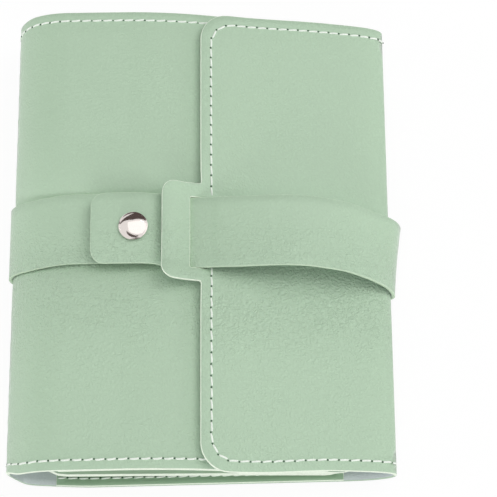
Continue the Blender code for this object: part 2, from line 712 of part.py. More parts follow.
def make_flap(carrier):
    step = 0.06
    fold_at = FRONT.distance_at_x(FLAP_FOLD_START) - CLEARANCE / 2
    keeper_at = FRONT.distance_at_x(KEEPER_END)
    sheet_width = rounded_end(HALF, FLAP_CORNER, FLAP_AT, 1)
    keeper_width = rounded_end(KEEPER_LENGTH / 2, KEEPER_CORNER, keeper_at, 1)

    def width(d):
        return sheet_width(d) if d >= FLAP_AT else keeper_width(d)

    def shift(d):
        return 0.0 if d >= FLAP_AT else WRAP_SHIFT

    extra = corner_stations(FLAP_CORNER, FLAP_AT, 1) + corner_stations(KEEPER_CORNER, keeper_at, 1)
    extra += [FLAP_AT - step, FRONT.distance_at_x(SLOT_START), FRONT.distance_at_x(-2.0)]
    points, faces = strip_mesh(FRONT, keeper_at, fold_at, lambda d: keeper_offset(d) - SHEET,
                               keeper_offset, width, shift, extra)
    flap = add_piece("flap", points, faces, GREEN, carrier)
    points, faces = box_mesh((SLOT_START, WRAP_SHIFT - SLOT_LENGTH / 2, BOOK_HEIGHT / 2),
                             (SLOT_END, WRAP_SHIFT + SLOT_LENGTH / 2, 1.5 * BOOK_HEIGHT))
    cut(flap, "keeper_slot", points, faces, carrier)

    lining_end = FRONT.distance_at_x(FLAP_LINING_END)
    lining_start = FRONT.distance_at_x(SLOT_END) + LINING_MARGIN
    lining_width = rounded_end(HALF, FLAP_CORNER, lining_start, 1)
    points, faces = strip_mesh(FRONT, lining_start, lining_end, FLAP_ROOM, FLAP_ROOM + LINING, lining_width,
                               extra=corner_stations(FLAP_CORNER, lining_start, 1))
    add_piece("flap_lining", points, faces, INNER_GREEN, carrier)

    plan = rounded_plan(FLAP_AT, FLAP_SEAM_INSET, FLAP_CORNER, HALF, fold_at, 1)
    seam_at = FLAP_AT + FLAP_SEAM_INSET
    break_at = STRAP_HALF + FLAP_SEAM_INSET
    near = [p for p in plan if p[1] < 0] + [(seam_at, WRAP_SHIFT - break_at)]
    far = [(seam_at, WRAP_SHIFT + break_at)] + [p for p in plan if p[1] > 0]
    for name, row in (("flap_seam_tail_edge", near), ("flap_seam_head_edge", far)):
        points, faces = seam_mesh(FRONT, row, FLAP_TOP + SEAM_LIFT)
        add_piece(name, points, faces, THREAD, carrier)

    end = ROUND.distance_at_x(BEND_START_X) - CLEARANCE / 2
    points, faces = strip_mesh(ROUND, 0, end, 0, STRAP, STRAP_HALF, ROUND_DRIFT)
    add_piece("strap_arch", points, faces, GREEN, carrier)


# Strap tail: the loose end with the snap's cap and socket


def tail_offset(distance):
    """Inner offset of the tail, which rises over the stud and droops at its free end."""
    start, snap = FRONT.distance_at_x(TAIL_START), FRONT.distance_at_x(SNAP_X)
    end = FRONT.distance_at_x(TAIL_END)
    lift = eased(start - distance, 0, start - snap - CAP_RADIUS)
    droop = eased(snap - CAP_RADIUS - distance, 0, snap - CAP_RADIUS - end)
    return TAIL_LOW + SNAP_RISE * lift - TAIL_DROOP * droop


def make_tail(carrier):
    start, end = FRONT.distance_at_x(TAIL_END), FRONT.distance_at_x(TAIL_START)
    width = rounded_end(STRAP_HALF, TAIL_CORNER, start, 1)
    extra = corner_stations(TAIL_CORNER, start, 1)
    extra += [start + (end - start) * i / 20 for i in range(1, 20)]
    points, faces = strip_mesh(FRONT, start, end, tail_offset, lambda d: tail_offset(d) + STRAP, width,
                               WRAP_SHIFT, extra)
    tail = add_piece("strap_tail", points, faces, GREEN, carrier)
    snap_at = FRONT.distance_at_x(SNAP_X)
    low = FRONT.place(snap_at, tail_offset(snap_at)).y
    high = low + STRAP
    socket_side = FRONT.distance_at_x(SNAP_X + SOCKET_RADIUS)
    seat = FRONT.place(socket_side, tail_offset(socket_side)).y
    cap_side = FRONT.distance_at_x(SNAP_X - CAP_RADIUS)
    crown = FRONT.place(cap_side, tail_offset(cap_side) + STRAP).y
    hole = POST_RADIUS + CLEARANCE / 2
    points, faces = turned_mesh([(0, low - 1), (hole, low - 1), (hole, high + 1), (0, high + 1)], SNAP)
    cut(tail, "cap_post_hole", points, faces, carrier)

    socket_top = seat - CLEARANCE / 2
    socket_low = socket_top - SOCKET_HEIGHT
    post_low = socket_top - CLEARANCE
    rim = max(high, crown) + CLEARANCE / 2
    dome = [(CAP_RADIUS * math.cos(t), rim + CAP_RIM + (CAP_HEIGHT - CAP_RIM) * math.sin(t))
            for t in (math.pi / 2 * i / 6 for i in range(6))]
    cap = [(0, post_low), (POST_RADIUS, post_low), (POST_RADIUS, rim), (CAP_RADIUS, rim)]
    cap += dome + [(0, rim + CAP_HEIGHT)]
    points, faces = turned_mesh(cap, SNAP)
    smooth_round(add_piece("snap_cap", points, faces, CHROME, carrier))
    lip = post_low - CLEARANCE / 2
    socket = [(SOCKET_HOLE, socket_low), (SOCKET_RADIUS, socket_low), (SOCKET_RADIUS, socket_top),
              (POST_RADIUS + CLEARANCE / 2, socket_top), (POST_RADIUS + CLEARANCE / 2, lip),
              (SOCKET_HOLE, lip)]
    points, faces = turned_mesh(socket, SNAP)
    smooth_round(add_piece("snap_socket", points, faces, CHROME, carrier))


# Leaves: two perforated pages that share one fold


def leaf_path():
    fold = Vector((PAGE_FOLD_X, SPINE_MID))
    tip = Vector((LEAF_END, LEAF_TIP_HEIGHT))
    return Path([tuple(fold), tuple(tip)])


def make_leaf(name, low, high, carrier):
    path = leaf_path()
    end = path.at[-1]
    half = LEAF_LENGTH / 2
    width = rounded_end(half, LEAF_CORNER, end, -1)
    points, faces = strip_mesh(path, LEAF_START, end, low, high, width,
                               extra=corner_stations(LEAF_CORNER, end, -1))
    leaf = add_piece(name, points, faces, PAGE, carrier)
    tilt = math.atan2(SPINE_MID - LEAF_TIP_HEIGHT, LEAF_END - PAGE_FOLD_X)
    drills = []
    for y in (-RIVET_SPAN / 2, RIVET_SPAN / 2):
        profile = [(0, -5), (RIVET_NOTCH, -5), (RIVET_NOTCH, 5), (0, 5)]
        drills.append(turned_mesh(profile, (PAGE_FOLD_X, y, SPINE_MID), "z", 16))
    for column in range(HOLE_COLUMNS):
        x = PAGE_FOLD_X + (HOLE_FIRST_COLUMN + column * HOLE_COLUMN_PITCH) * math.cos(tilt)
        z = SPINE_MID - (x - PAGE_FOLD_X) * math.tan(tilt)
        for row in range(HOLE_ROWS):
            y = (row - (HOLE_ROWS - 1) / 2) * HOLE_ROW_PITCH
            for side in (-1, 1):
                profile = [(0, -4), (HOLE_RADIUS, -4), (HOLE_RADIUS, 4), (0, 4)]
                drills.append(turned_mesh(profile, (x, y + side * HOLE_PAIR_GAP / 2, z), "z", 6))
    points, faces = joined(drills)
    cut(leaf, name + "_holes", points, faces, carrier)


def build():
    clear_scene()
    spine_axis = make_axis("spine_fold_axis", SPINE_AXIS)
    front_axis = make_axis("front_fold_axis", FRONT_AXIS, spine_axis)
    front_leaf_axis = make_axis("leaf_front_axis", LEAF_AXIS, spine_axis)
    rear_leaf_axis = make_axis("leaf_rear_axis", LEAF_AXIS, spine_axis)
    fore_axis = make_axis("fore_edge_axis", FORE_AXIS)
    flap_axis = make_axis("flap_axis", FLAP_AXIS, fore_axis)
    tail_axis = make_axis("tail_axis", TAIL_AXIS, flap_axis)
    make_back()
    make_strap_back()
    make_spine(spine_axis)
    make_front(front_axis)
    make_fore_edge(fore_axis)
    make_flap(flap_axis)
    make_tail(tail_axis)
    gap = CLEARANCE / 2
    make_leaf("leaf_front", gap, gap + LEAF, front_leaf_axis)
    make_leaf("leaf_rear", -gap - LEAF, -gap, rear_leaf_axis)


build()
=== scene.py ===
import math

import bpy
from mathutils import Euler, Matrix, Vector
from mathutils.geometry import delaunay_2d_cdt
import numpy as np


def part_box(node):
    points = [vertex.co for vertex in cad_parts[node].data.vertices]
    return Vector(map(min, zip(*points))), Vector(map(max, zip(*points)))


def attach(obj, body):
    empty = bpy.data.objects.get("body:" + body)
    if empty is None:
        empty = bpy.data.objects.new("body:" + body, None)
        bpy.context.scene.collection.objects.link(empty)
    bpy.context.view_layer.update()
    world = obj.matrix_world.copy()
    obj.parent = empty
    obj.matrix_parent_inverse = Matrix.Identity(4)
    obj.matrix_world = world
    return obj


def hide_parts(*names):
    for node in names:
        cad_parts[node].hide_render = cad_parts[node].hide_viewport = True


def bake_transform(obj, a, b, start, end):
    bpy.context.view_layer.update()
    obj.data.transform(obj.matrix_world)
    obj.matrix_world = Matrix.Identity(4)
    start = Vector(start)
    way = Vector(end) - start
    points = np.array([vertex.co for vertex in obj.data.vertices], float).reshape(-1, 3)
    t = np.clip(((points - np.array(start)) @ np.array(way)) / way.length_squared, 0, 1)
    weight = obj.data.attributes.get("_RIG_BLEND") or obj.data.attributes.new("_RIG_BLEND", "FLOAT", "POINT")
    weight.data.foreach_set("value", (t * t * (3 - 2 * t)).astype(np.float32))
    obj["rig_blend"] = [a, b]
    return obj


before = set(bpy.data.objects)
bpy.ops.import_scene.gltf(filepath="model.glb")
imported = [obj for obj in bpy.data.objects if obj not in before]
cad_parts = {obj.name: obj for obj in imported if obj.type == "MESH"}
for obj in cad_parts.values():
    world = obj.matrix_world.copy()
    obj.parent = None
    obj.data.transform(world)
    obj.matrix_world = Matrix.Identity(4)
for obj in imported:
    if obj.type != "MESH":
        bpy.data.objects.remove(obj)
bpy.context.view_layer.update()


# Camera
# A long lens held over the closed book, a little towards its tail edge, so that the front fills
# the frame and the open near side shows as a thin line.
camera = bpy.data.objects.new("camera", bpy.data.cameras.new("camera"))
camera.data.sensor_width = 36.0
camera.data.lens = 135.69
camera.data.clip_start = 0.02
camera.location = (0.03600, -0.20685, 0.61348)
camera.rotation_euler = Euler([math.radians(a) for a in (18.809, 2.055, -0.456)], "XYZ")
bpy.context.scene.collection.objects.link(camera)
bpy.context.scene.camera = camera
bpy.context.scene.view_settings.view_transform = "Standard"


# Table and light
# A plain white tabletop that runs out of the picture, lit by a bright room, a large soft lamp from
# the right of the far side, one overhead and three low ones at the sides. Cards that only
# reflections show stand round it.
def tint(code):
    """An sRGB hex colour as the linear colour that a shader reads."""
    parts = [int(code[i : i + 2], 16) / 255 for i in (1, 3, 5)]
    return tuple(p / 12.92 if p <= 0.04045 else ((p + 0.055) / 1.055) ** 2.4 for p in parts) + (1.0,)


def node(tree, kind, settings=(), **links):
    """Add a node, set its properties, and fill its inputs with values or with other sockets."""
    made = tree.nodes.new(kind)
    for name, value in dict(settings).items():
        setattr(made, name, value)
    for name, value in links.items():
        if name.startswith("at"):
            socket = made.inputs[int(name[2:])]
        else:
            socket = made.inputs[name.replace("_", " ")]
        if isinstance(value, bpy.types.NodeSocket):
            tree.links.new(value, socket)
        else:
            socket.default_value = value
    return made


def new_material(name):
    """An empty material and its node tree."""
    material = bpy.data.materials.new(name)
    material.use_nodes = True
    material.node_tree.nodes.clear()
    return material, material.node_tree


def link(name, mesh, *finishes):
    """Put a mesh in the scene under a name, with its materials."""
    for finish in finishes:
        mesh.materials.append(finish)
    piece = bpy.data.objects.new(name, mesh)
    bpy.context.scene.collection.objects.link(piece)
    return piece


def reckon(tree, operation, *values):
    """What a Math node makes of values and sockets."""
    inputs = {"at%d" % i: value for i, value in enumerate(values)}
    return node(tree, "ShaderNodeMath", {"operation": operation}, **inputs).outputs[0]


def seen_rays(tree):
    """1 on the rays that make the picture, straight, in a reflection or through a piece, else 0."""
    path = node(tree, "ShaderNodeLightPath").outputs
    seen = reckon(tree, "MAXIMUM", path["Is Camera Ray"], path["Is Glossy Ray"])
    return reckon(tree, "MAXIMUM", seen, path["Is Transmission Ray"])


def card_paper(name, code, strength):
    """The plain glowing surface of a card."""
    paper, tree = new_material(name)
    glow = node(tree, "ShaderNodeEmission", Color=tint(code), Strength=strength)
    node(tree, "ShaderNodeOutputMaterial", Surface=glow.outputs[0])
    return paper


tabletop_paint, tree = new_material("tabletop_matt_paint")
matt = node(tree, "ShaderNodeBsdfDiffuse", Color=tint("#F7F7F7"))
white = node(tree, "ShaderNodeEmission", Color=tint("#FFFFFF"), Strength=1.01)
share = reckon(tree, "MULTIPLY", seen_rays(tree), 0.92)
mixed = node(tree, "ShaderNodeMixShader", at0=share, at1=matt.outputs[0], at2=white.outputs[0])
node(tree, "ShaderNodeOutputMaterial", Surface=mixed.outputs[0])

TABLE_HALF = 1.6
table_corners = [(TABLE_HALF * i, TABLE_HALF * j, 0) for i, j in ((-1, -1), (1, -1), (1, 1), (-1, 1))]
tabletop_mesh = bpy.data.meshes.new("tabletop")
tabletop_mesh.from_pydata(table_corners, [], [(0, 1, 2, 3)])
tabletop = link("tabletop", tabletop_mesh, tabletop_paint)

dark_paper = card_paper("card_dark_paper", "#5C5250", 1.0)
white_paper = card_paper("card_white_paper", "#FFFFFF", 1.4)
skirting = [(0.6 * math.cos(math.pi * i / 16), 0.6 * math.sin(math.pi * i / 16)) for i in range(33)]
for card_name, paper, lower, upper in (
    ("dark_card_far", dark_paper,
     [(-0.54, 0.24, 0.23), (-0.43, 0.34, 0.31), (-0.28, 0.38, 0.42), (-0.06, 0.40, 0.48),
      (0.12, 0.44, 0.42), (0.26, 0.44, 0.34), (0.36, 0.41, 0.26), (0.43, 0.36, 0.21)],
     [(-0.52, 0.30, 0.18), (-0.40, 0.44, 0.22), (-0.22, 0.54, 0.21), (-0.07, 0.59, 0.13),
      (0.06, 0.60, 0.07), (0.21, 0.55, 0.12), (0.33, 0.48, 0.16), (0.42, 0.39, 0.19)]),
    ("dark_card_near", dark_paper,
     [(-0.35, -0.19, 0.50), (-0.26, -0.33, 0.48), (-0.09, -0.42, 0.46), (0.10, -0.43, 0.44),
      (0.21, -0.35, 0.46)],
     [(-0.36, -0.10, 0.52), (-0.25, -0.21, 0.55), (-0.08, -0.31, 0.54), (0.10, -0.35, 0.51),
      (0.22, -0.33, 0.48)]),
    ("white_card_over", white_paper,
     [(-0.25, -0.13, 0.57), (-0.09, -0.25, 0.58), (0.15, -0.29, 0.53), (0.39, -0.21, 0.43),
      (0.50, 0.06, 0.33)],
     [(-0.28, 0.29, 0.49), (-0.06, 0.33, 0.53), (0.16, 0.37, 0.47), (0.32, 0.35, 0.38),
      (0.45, 0.29, 0.28)]),
    ("dark_card_low", dark_paper, [(x, y, 0.01) for x, y in skirting], [(x, y, 0.11) for x, y in skirting]),
):
    count = len(lower)
    strips = [(i, i + 1, count + i + 1, count + i) for i in range(count - 1)]
    card_mesh = bpy.data.meshes.new(card_name)
    card_mesh.from_pydata(lower + upper, [], strips)
    card = link(card_name, card_mesh, paper)
    card.visible_camera = False
    card.visible_diffuse = False
    card.visible_shadow = False
    card.visible_transmission = False

room = bpy.data.worlds.new("bright_room")
room.use_nodes = True
tree = room.node_tree
tree.nodes.clear()
dim = node(tree, "ShaderNodeBackground", Color=tint("#FFFFFF"), Strength=0.46)
bright = node(tree, "ShaderNodeBackground", Color=tint("#FFFFFF"), Strength=1.0)
mixed = node(tree, "ShaderNodeMixShader", at0=seen_rays(tree), at1=dim.outputs[0], at2=bright.outputs[0])
node(tree, "ShaderNodeOutputWorld", Surface=mixed.outputs[0])
bpy.context.scene.world = room

LAMP_AIM = Vector((0.0, 0.0, 0.02))
for lamp_name, spot, size, power in (
    ("key_softbox", (0.80, 0.42, 1.02), 1.00, 5.7),
    ("top_softbox", (0.00, 0.02, 1.30), 1.00, 2.5),
    ("left_reflector", (-0.92, 0.05, 0.13), 0.50, 3.2),
    ("right_reflector", (0.94, 0.05, 0.13), 0.50, 1.6),
    ("near_reflector", (0.00, -0.95, 0.22), 0.50, 3.2),
):
    lamp_data = bpy.data.lights.new(lamp_name, "AREA")
    lamp_data.shape = "DISK"
    lamp_data.size = size
    lamp_data.energy = power
    lamp = bpy.data.objects.new(lamp_name, lamp_data)
    lamp.location = spot
    lamp.rotation_euler = (LAMP_AIM - Vector(spot)).to_track_quat("-Z", "Y").to_euler()
    bpy.context.scene.collection.objects.link(lamp)


# Cover sheet, spine side
# One long piece of embossed PU leather makes back, spine and front. It is drawn as two panels that
# meet at the middle of the spine: the back half with the lower spine, and the upper spine with the
# front. The front's edges are cut raw and left pale, those of the back are dyed like the skin, and
# the inner side is a grey-blue fleece.
MM = 0.001
SHEET = 1.2
HALF_LENGTH = 80.0
BACK_FACE = 1.5
FLAP_LIFT = 3.1
FRONT_CORNER = 9.0
STRAP_HALF = 12.3
VALLEY_MIDDLE = 0.5


def quarter_turn(steps):
    """The angles of a quarter turn."""
    return [math.pi / 2 * i / steps for i in range(steps + 1)]


def smooth(value, start, end):
    """0 before start, 1 after end, smooth between."""
    t = min(max((value - start) / (end - start), 0.0), 1.0)
    return t * t * (3 - 2 * t)


def place(x, y, z):
    """A point of the book, given in millimetres.

    The sewn book is slightly wedge-shaped and uneven, and the strap presses a valley into it. It
    spreads a little at the tail edge, the spine's ends are drawn in, and the flap lies a little
    towards the tail edge.
    """
    y = y * (1.0 - 0.0072 * x / 64.5)
    swell = math.sin(x / 21.0 + 1.3) * math.sin(y / 27.0 + 0.4) + 0.6 * math.sin(x / 37.0 - y / 33.0)
    y -= 0.6 * smooth(-y, 40.0, 80.0) * (1.0 - smooth(z, 2.0, 9.0)) * smooth(x, -52.0, -36.0)
    y -= 0.3 * smooth(-y, 40.0, 80.0) * smooth(z, 15.0, 22.0)
    drawn_in = smooth(y, 30.0, 80.0) - smooth(-y, 30.0, 80.0) - 0.9 * smooth(-y, 76.5, 80.0)
    y -= (1.0 - smooth(x, -65.0, -57.0)) * drawn_in
    over = smooth(z - front_height(x), 0.2, 0.9) * (1.0 - smooth(x, 14.0, 44.0))
    y -= (1.3 if y < 0.0 else 0.9) * over * smooth(abs(y), 25.0, 60.0)
    x += 0.4 * smooth(x, 40.0, 62.0)
    aside = max(abs(y - VALLEY_MIDDLE) - STRAP_HALF, 0.0)
    valley = -2.0 * math.exp(-aside / 5.0) * (1.0 - smooth(x, 4.0, 56.0))
    valley -= 0.7 * math.exp(-aside / 1.4) * (1.0 - smooth(x, -16.0, -6.0))
    return Vector((x * MM, y * MM, (z + (0.16 * swell + valley) * z / 28.0) * MM))


class Line:
    """A line of (x, z) points in millimetres that a sheet follows; its left side is the outer one."""

    def __init__(self, *runs):
        self.points = []
        marks = []
        for run in runs:
            for point in run:
                point = Vector(point)
                if not self.points or (point - self.points[-1]).length > 1e-3:
                    self.points.append(point)
            marks.append(len(self.points) - 1)
        self.at = [0.0]
        for a, b in zip(self.points, self.points[1:]):
            self.at.append(self.at[-1] + (b - a).length)
        self.marks = [self.at[i] for i in marks]
        last = len(self.points) - 1
        self.out = []
        for i in range(last + 1):
            along = self.points[min(i + 1, last)] - self.points[max(i - 1, 0)]
            self.out.append(Vector((-along.y, along.x)).normalized())

    def spot(self, distance, offset=0.0):
        """The (x, z) point at a distance, moved outwards."""
        distance = min(max(distance, 0.0), self.at[-1])
        i = 0
        j = len(self.at) - 1
        while j - i > 1:
            k = (i + j) // 2
            if self.at[k] <= distance:
                i = k
            else:
                j = k
        share = (distance - self.at[i]) / (self.at[j] - self.at[i])
        out = self.out[i].lerp(self.out[j], share).normalized()
        return self.points[i].lerp(self.points[j], share) + out * offset

    def reach(self, x, after=0.0):
        """The first distance after another at which the line passes an x."""
        for i in range(len(self.points) - 1):
            a, b = self.points[i].x, self.points[i + 1].x
            if self.at[i + 1] > after and a != b and min(a, b) <= x <= max(a, b):
                return self.at[i] + (self.at[i + 1] - self.at[i]) * (x - a) / (b - a)
        raise ValueError("no x = %g on this line" % x)

    def between(self, start, end):
        """The line's own distances between two others, with both ends."""
        inside = [d for d in self.at if start + 0.3 < d < end - 0.3]
        return [start] + inside + [end]


def front_height(x):
    """The front's outer face falls from the spine to the fore-edge."""
    run = max(x + 26.0, 0.0)
    if run < 32.0:
        return 28.0 - 0.27 * run * run / 64.0
    return 28.0 - 0.27 * (run - 16.0)


def front_spot(x, offset):
    """A point above the front's outer face."""
    slope = (front_height(x + 0.01) - front_height(x - 0.01)) / 0.02
    out = Vector((-slope, 1.0)).normalized()
    return (x + out.x * offset, front_height(x) + out.y * offset)


def arc(centre, reach, start, end, steps):
    """Points on an ellipse between two angles in degrees."""
    points = []
    for i in range(steps + 1):
        turn = math.radians(start + (end - start) * i / steps)
        points.append((centre[0] + reach[0] * math.cos(turn), centre[1] + reach[1] * math.sin(turn)))
    return points


def run_of(start, end, steps, height):
    """Evenly spaced points along X at a height."""
    return [(start + (end - start) * i / steps, height) for i in range(steps + 1)]


def spine_side(outward):
    """The line of a face that lies outside the cover sheet by some millimetres, from the middle of
    the back round the spine to the front's free edge."""
    centre = (-45.0, 14.75)
    reach = (18.5 + outward, 13.25 + outward)
    return Line(
        run_of(0.0, -45.0, 12, BACK_FACE - outward),
        arc(centre, reach, -90.0, -180.0, 26),
        arc(centre, reach, -180.0, -270.0, 26),
        [front_spot(-45.0 + 98.5 * i / 48, outward) for i in range(49)],
    )


COVER_LEFT = spine_side(0.0)


def rounded_outline(line, start, end, half, start_corner=0.0, end_corner=0.0):
    """A panel's outline as (distance, y) points, anticlockwise, with rounded corners at its ends."""
    def corner(edge, side, radius, toward):
        if radius == 0.0:
            return [(edge, side)]
        turned = math.copysign(radius, side)
        inner = side - turned
        return [(edge + toward * radius * (1 - math.sin(t)), inner + turned * math.cos(t))
                for t in quarter_turn(9)]

    first = start + max(start_corner, 0.2)
    last = end - max(end_corner, 0.2)
    inside = [d for d in line.between(start, end) if first < d < last]
    steps = [-1 + 2 * i / 20 for i in range(1, 20)]
    outline = corner(start, -half, start_corner, 1)[::-1]
    outline += [(d, -half) for d in inside]
    outline += corner(end, -half, end_corner, -1)
    outline += [(end, s * (half - end_corner)) for s in steps]
    outline += corner(end, half, end_corner, -1)[::-1]
    outline += [(d, half) for d in reversed(inside)]
    outline += corner(start, half, start_corner, 1)
    outline += [(start, -s * (half - start_corner)) for s in steps]
    return outline


def moved_in(loop, depth):
    """The loop moved towards its left side."""
    moved = []
    count = len(loop)
    for i in range(count):
        before = Vector(loop[i]) - Vector(loop[i - 1])
        after = Vector(loop[(i + 1) % count]) - Vector(loop[i])
        one = Vector((-before.y, before.x)).normalized()
        two = Vector((-after.y, after.x)).normalized()
        middle = (one + two).normalized()
        moved.append(Vector(loop[i]) + middle * (depth / max(middle.dot(two), 0.5)))
    return moved


def inside_of(spot, loops, margin):
    """Whether a spot lies inside the loops and clear of them."""
    x, y = spot
    within = False
    for loop in loops:
        previous = loop[-1]
        for current in loop:
            ax, ay = previous
            bx, by = current
            if (ay > y) != (by > y) and x < (bx - ax) * (y - ay) / (by - ay) + ax:
                within = not within
            dx, dy = bx - ax, by - ay
            share = ((x - ax) * dx + (y - ay) * dy) / (dx * dx + dy * dy + 1e-12)
            share = min(max(share, 0.0), 1.0)
            if (ax + share * dx - x) ** 2 + (ay + share * dy - y) ** 2 < margin * margin:
                return False
            previous = current
    return within


VALLEY_STEPS = (0.0, 4.0, 8.0, 11.0, 12.4, 13.2, 14.2, 15.6, 17.4, 19.6, 22.4, 26.0)
VALLEY_ROWS = sorted({VALLEY_MIDDLE + sign * step for step in VALLEY_STEPS for sign in (-1, 1)})
SEAM_CLEAR = 1.5


def cut_panel(name, line, outline, low, high, finishes, holes=(), seams=(), rim=0.16, rows=9.0,
              close_rows=VALLEY_ROWS):
    """Cut a sheet to its outline, give it its thickness and raw edges, and lay it along a line.

    low and high give the offsets of its two faces. The finishes are those of the outer face, the
    inner face and the cut edge. Along each seam the thread pulls the outer face in a little. Its
    points lie in rows, closer where the strap presses the sheet in.
    """
    loops = [list(outline)] + [list(hole) for hole in holes]
    inner = [moved_in(loop, rim) for loop in loops]
    flat, edges = [], []
    for loop in inner:
        first = len(flat)
        flat += loop
        edges += [(first + i, first + (i + 1) % len(loop)) for i in range(len(loop))]
    spots = []
    for seam in seams:
        for (d0, y0), (d1, y1) in zip(seam, seam[1:]):
            step = Vector((d1 - d0, y1 - y0))
            parts = max(1, int(step.length / 4.0))
            side = Vector((-step.y, step.x)).normalized()
            for k in range(parts):
                middle = Vector((d0, y0)) + step * (k / parts)
                spots += [middle, middle + side * 1.0, middle - side * 1.0]
    starts = min(d for d, y in outline)
    ends = max(d for d, y in outline)
    low_y = min(y for d, y in outline)
    high_y = max(y for d, y in outline)
    count = max(2, round((high_y - low_y) / rows))
    plan_segments = [(Vector(a), Vector(b)) for seam in seams for a, b in zip(seam, seam[1:])]
    heights = [low_y + (high_y - low_y) * i / count for i in range(1, count)]
    if close_rows:
        heights = [y for y in heights if abs(y) > max(close_rows) + 1.0] + list(close_rows)
    for d in line.between(starts, ends):
        for y in heights:
            spot = Vector((d, y))
            if plan_segments and seam_distance(spot, plan_segments) < SEAM_CLEAR:
                continue
            spots.append(spot)
    flat += [s for s in spots if inside_of(s, inner, 0.45)]
    verts, _, faces, origin, _, _ = delaunay_2d_cdt(flat, edges, [], 1, 1e-5)
    if holes:
        middles = [sum((verts[i] for i in face), Vector((0, 0))) / 3 for face in faces]
        faces = [face for face, middle in zip(faces, middles) if not inside_of(middle, inner[1:], 0.0)]
    from_input = {}
    for index, sources in enumerate(origin):
        for source in sources:
            from_input[source] = index
    points, lay = [], []

    def lay_point(d, y, offset):
        spot = line.spot(d, offset)
        points.append(place(spot.x, y, spot.y))
        lay.append((d * MM, y * MM))
        return len(points) - 1

    def pulled(d, y):
        if not plan_segments:
            return 0.0
        away = seam_distance(Vector((d, y)), plan_segments)
        return 0.13 * math.exp(-((away / 0.85) ** 2))

    over = [lay_point(v.x, v.y, high(v.x, v.y) - pulled(v.x, v.y)) for v in verts]
    under = [lay_point(v.x, v.y, low(v.x, v.y)) for v in verts]
    polygons, kinds = [], []
    for face in faces:
        polygons.append([over[i] for i in face])
        polygons.append([under[i] for i in reversed(face)])
        kinds += [0, 1]
    first = 0
    for loop in loops:
        upper = [lay_point(d, y, high(d, y) - rim) for d, y in loop]
        lower = [lay_point(d, y, low(d, y) + rim) for d, y in loop]
        top = [over[from_input[first + i]] for i in range(len(loop))]
        bottom = [under[from_input[first + i]] for i in range(len(loop))]
        for i in range(len(loop)):
            j = (i + 1) % len(loop)
            polygons += [(top[i], upper[i], upper[j], top[j]), (upper[i], lower[i], lower[j], upper[j]),
                         (lower[i], bottom[i], bottom[j], lower[j])]
            kinds += [2, 2, 2]
        first += len(loop)
    mesh = bpy.data.meshes.new(name)
    mesh.from_pydata(points, [], polygons)
    slots = list(dict.fromkeys(finishes))
    mesh.polygons.foreach_set("material_index", [slots.index(finishes[kind]) for kind in kinds])
    map_layer = mesh.uv_layers.new(name="lay")
    for corner in mesh.loops:
        map_layer.data[corner.index].uv = lay[corner.vertex_index]
    mesh.shade_smooth()
    mesh.set_sharp_from_angle(angle=math.radians(50))
    return link(name, mesh, *slots)


def seam_distance(spot, segments):
    """How far a spot of the plan lies from the nearest seam."""
    best = 1e9
    for a, b in segments:
        along = b - a
        share = min(max((spot - a).dot(along) / along.length_squared, 0.0), 1.0)
        best = min(best, (a + along * share - spot).length_squared)
    return math.sqrt(best)


def level(value):
    """A height that is the same all over a panel."""
    return lambda d, y: value


def object_material(name):
    """An empty material with its node tree, and the object's own coordinates."""
    material, tree = new_material(name)
    return material, tree, node(tree, "ShaderNodeTexCoord").outputs["Object"]


def noise(tree, where, scale, detail, roughness=0.5):
    """A noise as a grey value."""
    return node(tree, "ShaderNodeTexNoise", Vector=where, Scale=scale, Detail=detail,
                Roughness=roughness).outputs["Fac"]


def mapped(tree, value, start, end, low, high, kind="LINEAR"):
    """A value carried from one range to another."""
    return node(tree, "ShaderNodeMapRange", {"interpolation_type": kind}, Value=value, at1=start,
                at2=end, at3=low, at4=high).outputs[0]


def surface(tree, code, tone, relief=None, **skin):
    """Finish a material: a colour shaded by a tone, and a relief's height, strength and depth."""
    shaded = node(tree, "ShaderNodeMix", {"data_type": "RGBA", "blend_type": "MULTIPLY"}, at0=1.0,
                  at6=tint(code), at7=tone)
    if relief:
        height, strength, depth = relief
        bump = node(tree, "ShaderNodeBump", Strength=strength, Distance=depth, Height=height)
        skin["Normal"] = bump.outputs[0]
    made = node(tree, "ShaderNodeBsdfPrincipled", Base_Color=shaded.outputs[2], **skin)
    node(tree, "ShaderNodeOutputMaterial", Surface=made.outputs[0])


# Polyurethane skin on a cloth base, embossed with a fine creased grain and left matt: soft broad
# highlights, pale where it turns away, and a grain about 0.8 mm wide, drawn a little coarser than
# the real 0.6 mm so it shows. It is deepest on the near side of the strap, and fades towards both
# the head edge and the tail edge.
pu_leather, tree, where = object_material("pu_leather_embossed")
warp = node(tree, "ShaderNodeTexNoise", Vector=where, Scale=700.0, Detail=2.0).outputs["Color"]
bent = node(tree, "ShaderNodeMixRGB", {"blend_type": "LINEAR_LIGHT"}, Fac=0.0007, Color1=where, Color2=warp)
pebbles = node(tree, "ShaderNodeTexVoronoi", {"feature": "SMOOTH_F1"}, Vector=bent.outputs[0],
               Scale=1250.0, Smoothness=0.45)
creases = noise(tree, where, 620.0, 4.0, 0.6)
cloud = noise(tree, where, 34.0, 3.0, 0.55)
rounded = mapped(tree, pebbles.outputs["Distance"], 0.10, 0.75, 1.0, 0.0, "SMOOTHSTEP")
grain = reckon(tree, "MULTIPLY_ADD", creases, 1.3, rounded)
# Painted shade: the colour is a little darker in the creases between the grain's pebbles.
crease_shade = mapped(tree, rounded, 0.0, 1.0, 0.965, 1.005)
shade = mapped(tree, cloud, 0.3, 0.7, 0.975, 1.02)
tone = reckon(tree, "MULTIPLY", crease_shade, shade)
length_way = node(tree, "ShaderNodeSeparateXYZ", Vector=where).outputs["Y"]
head_fade = mapped(tree, length_way, 0.010, -0.016, 0.32, 1.0, "SMOOTHSTEP")
tail_fade = mapped(tree, length_way, -0.050, -0.022, 0.45, 1.0, "SMOOTHSTEP")
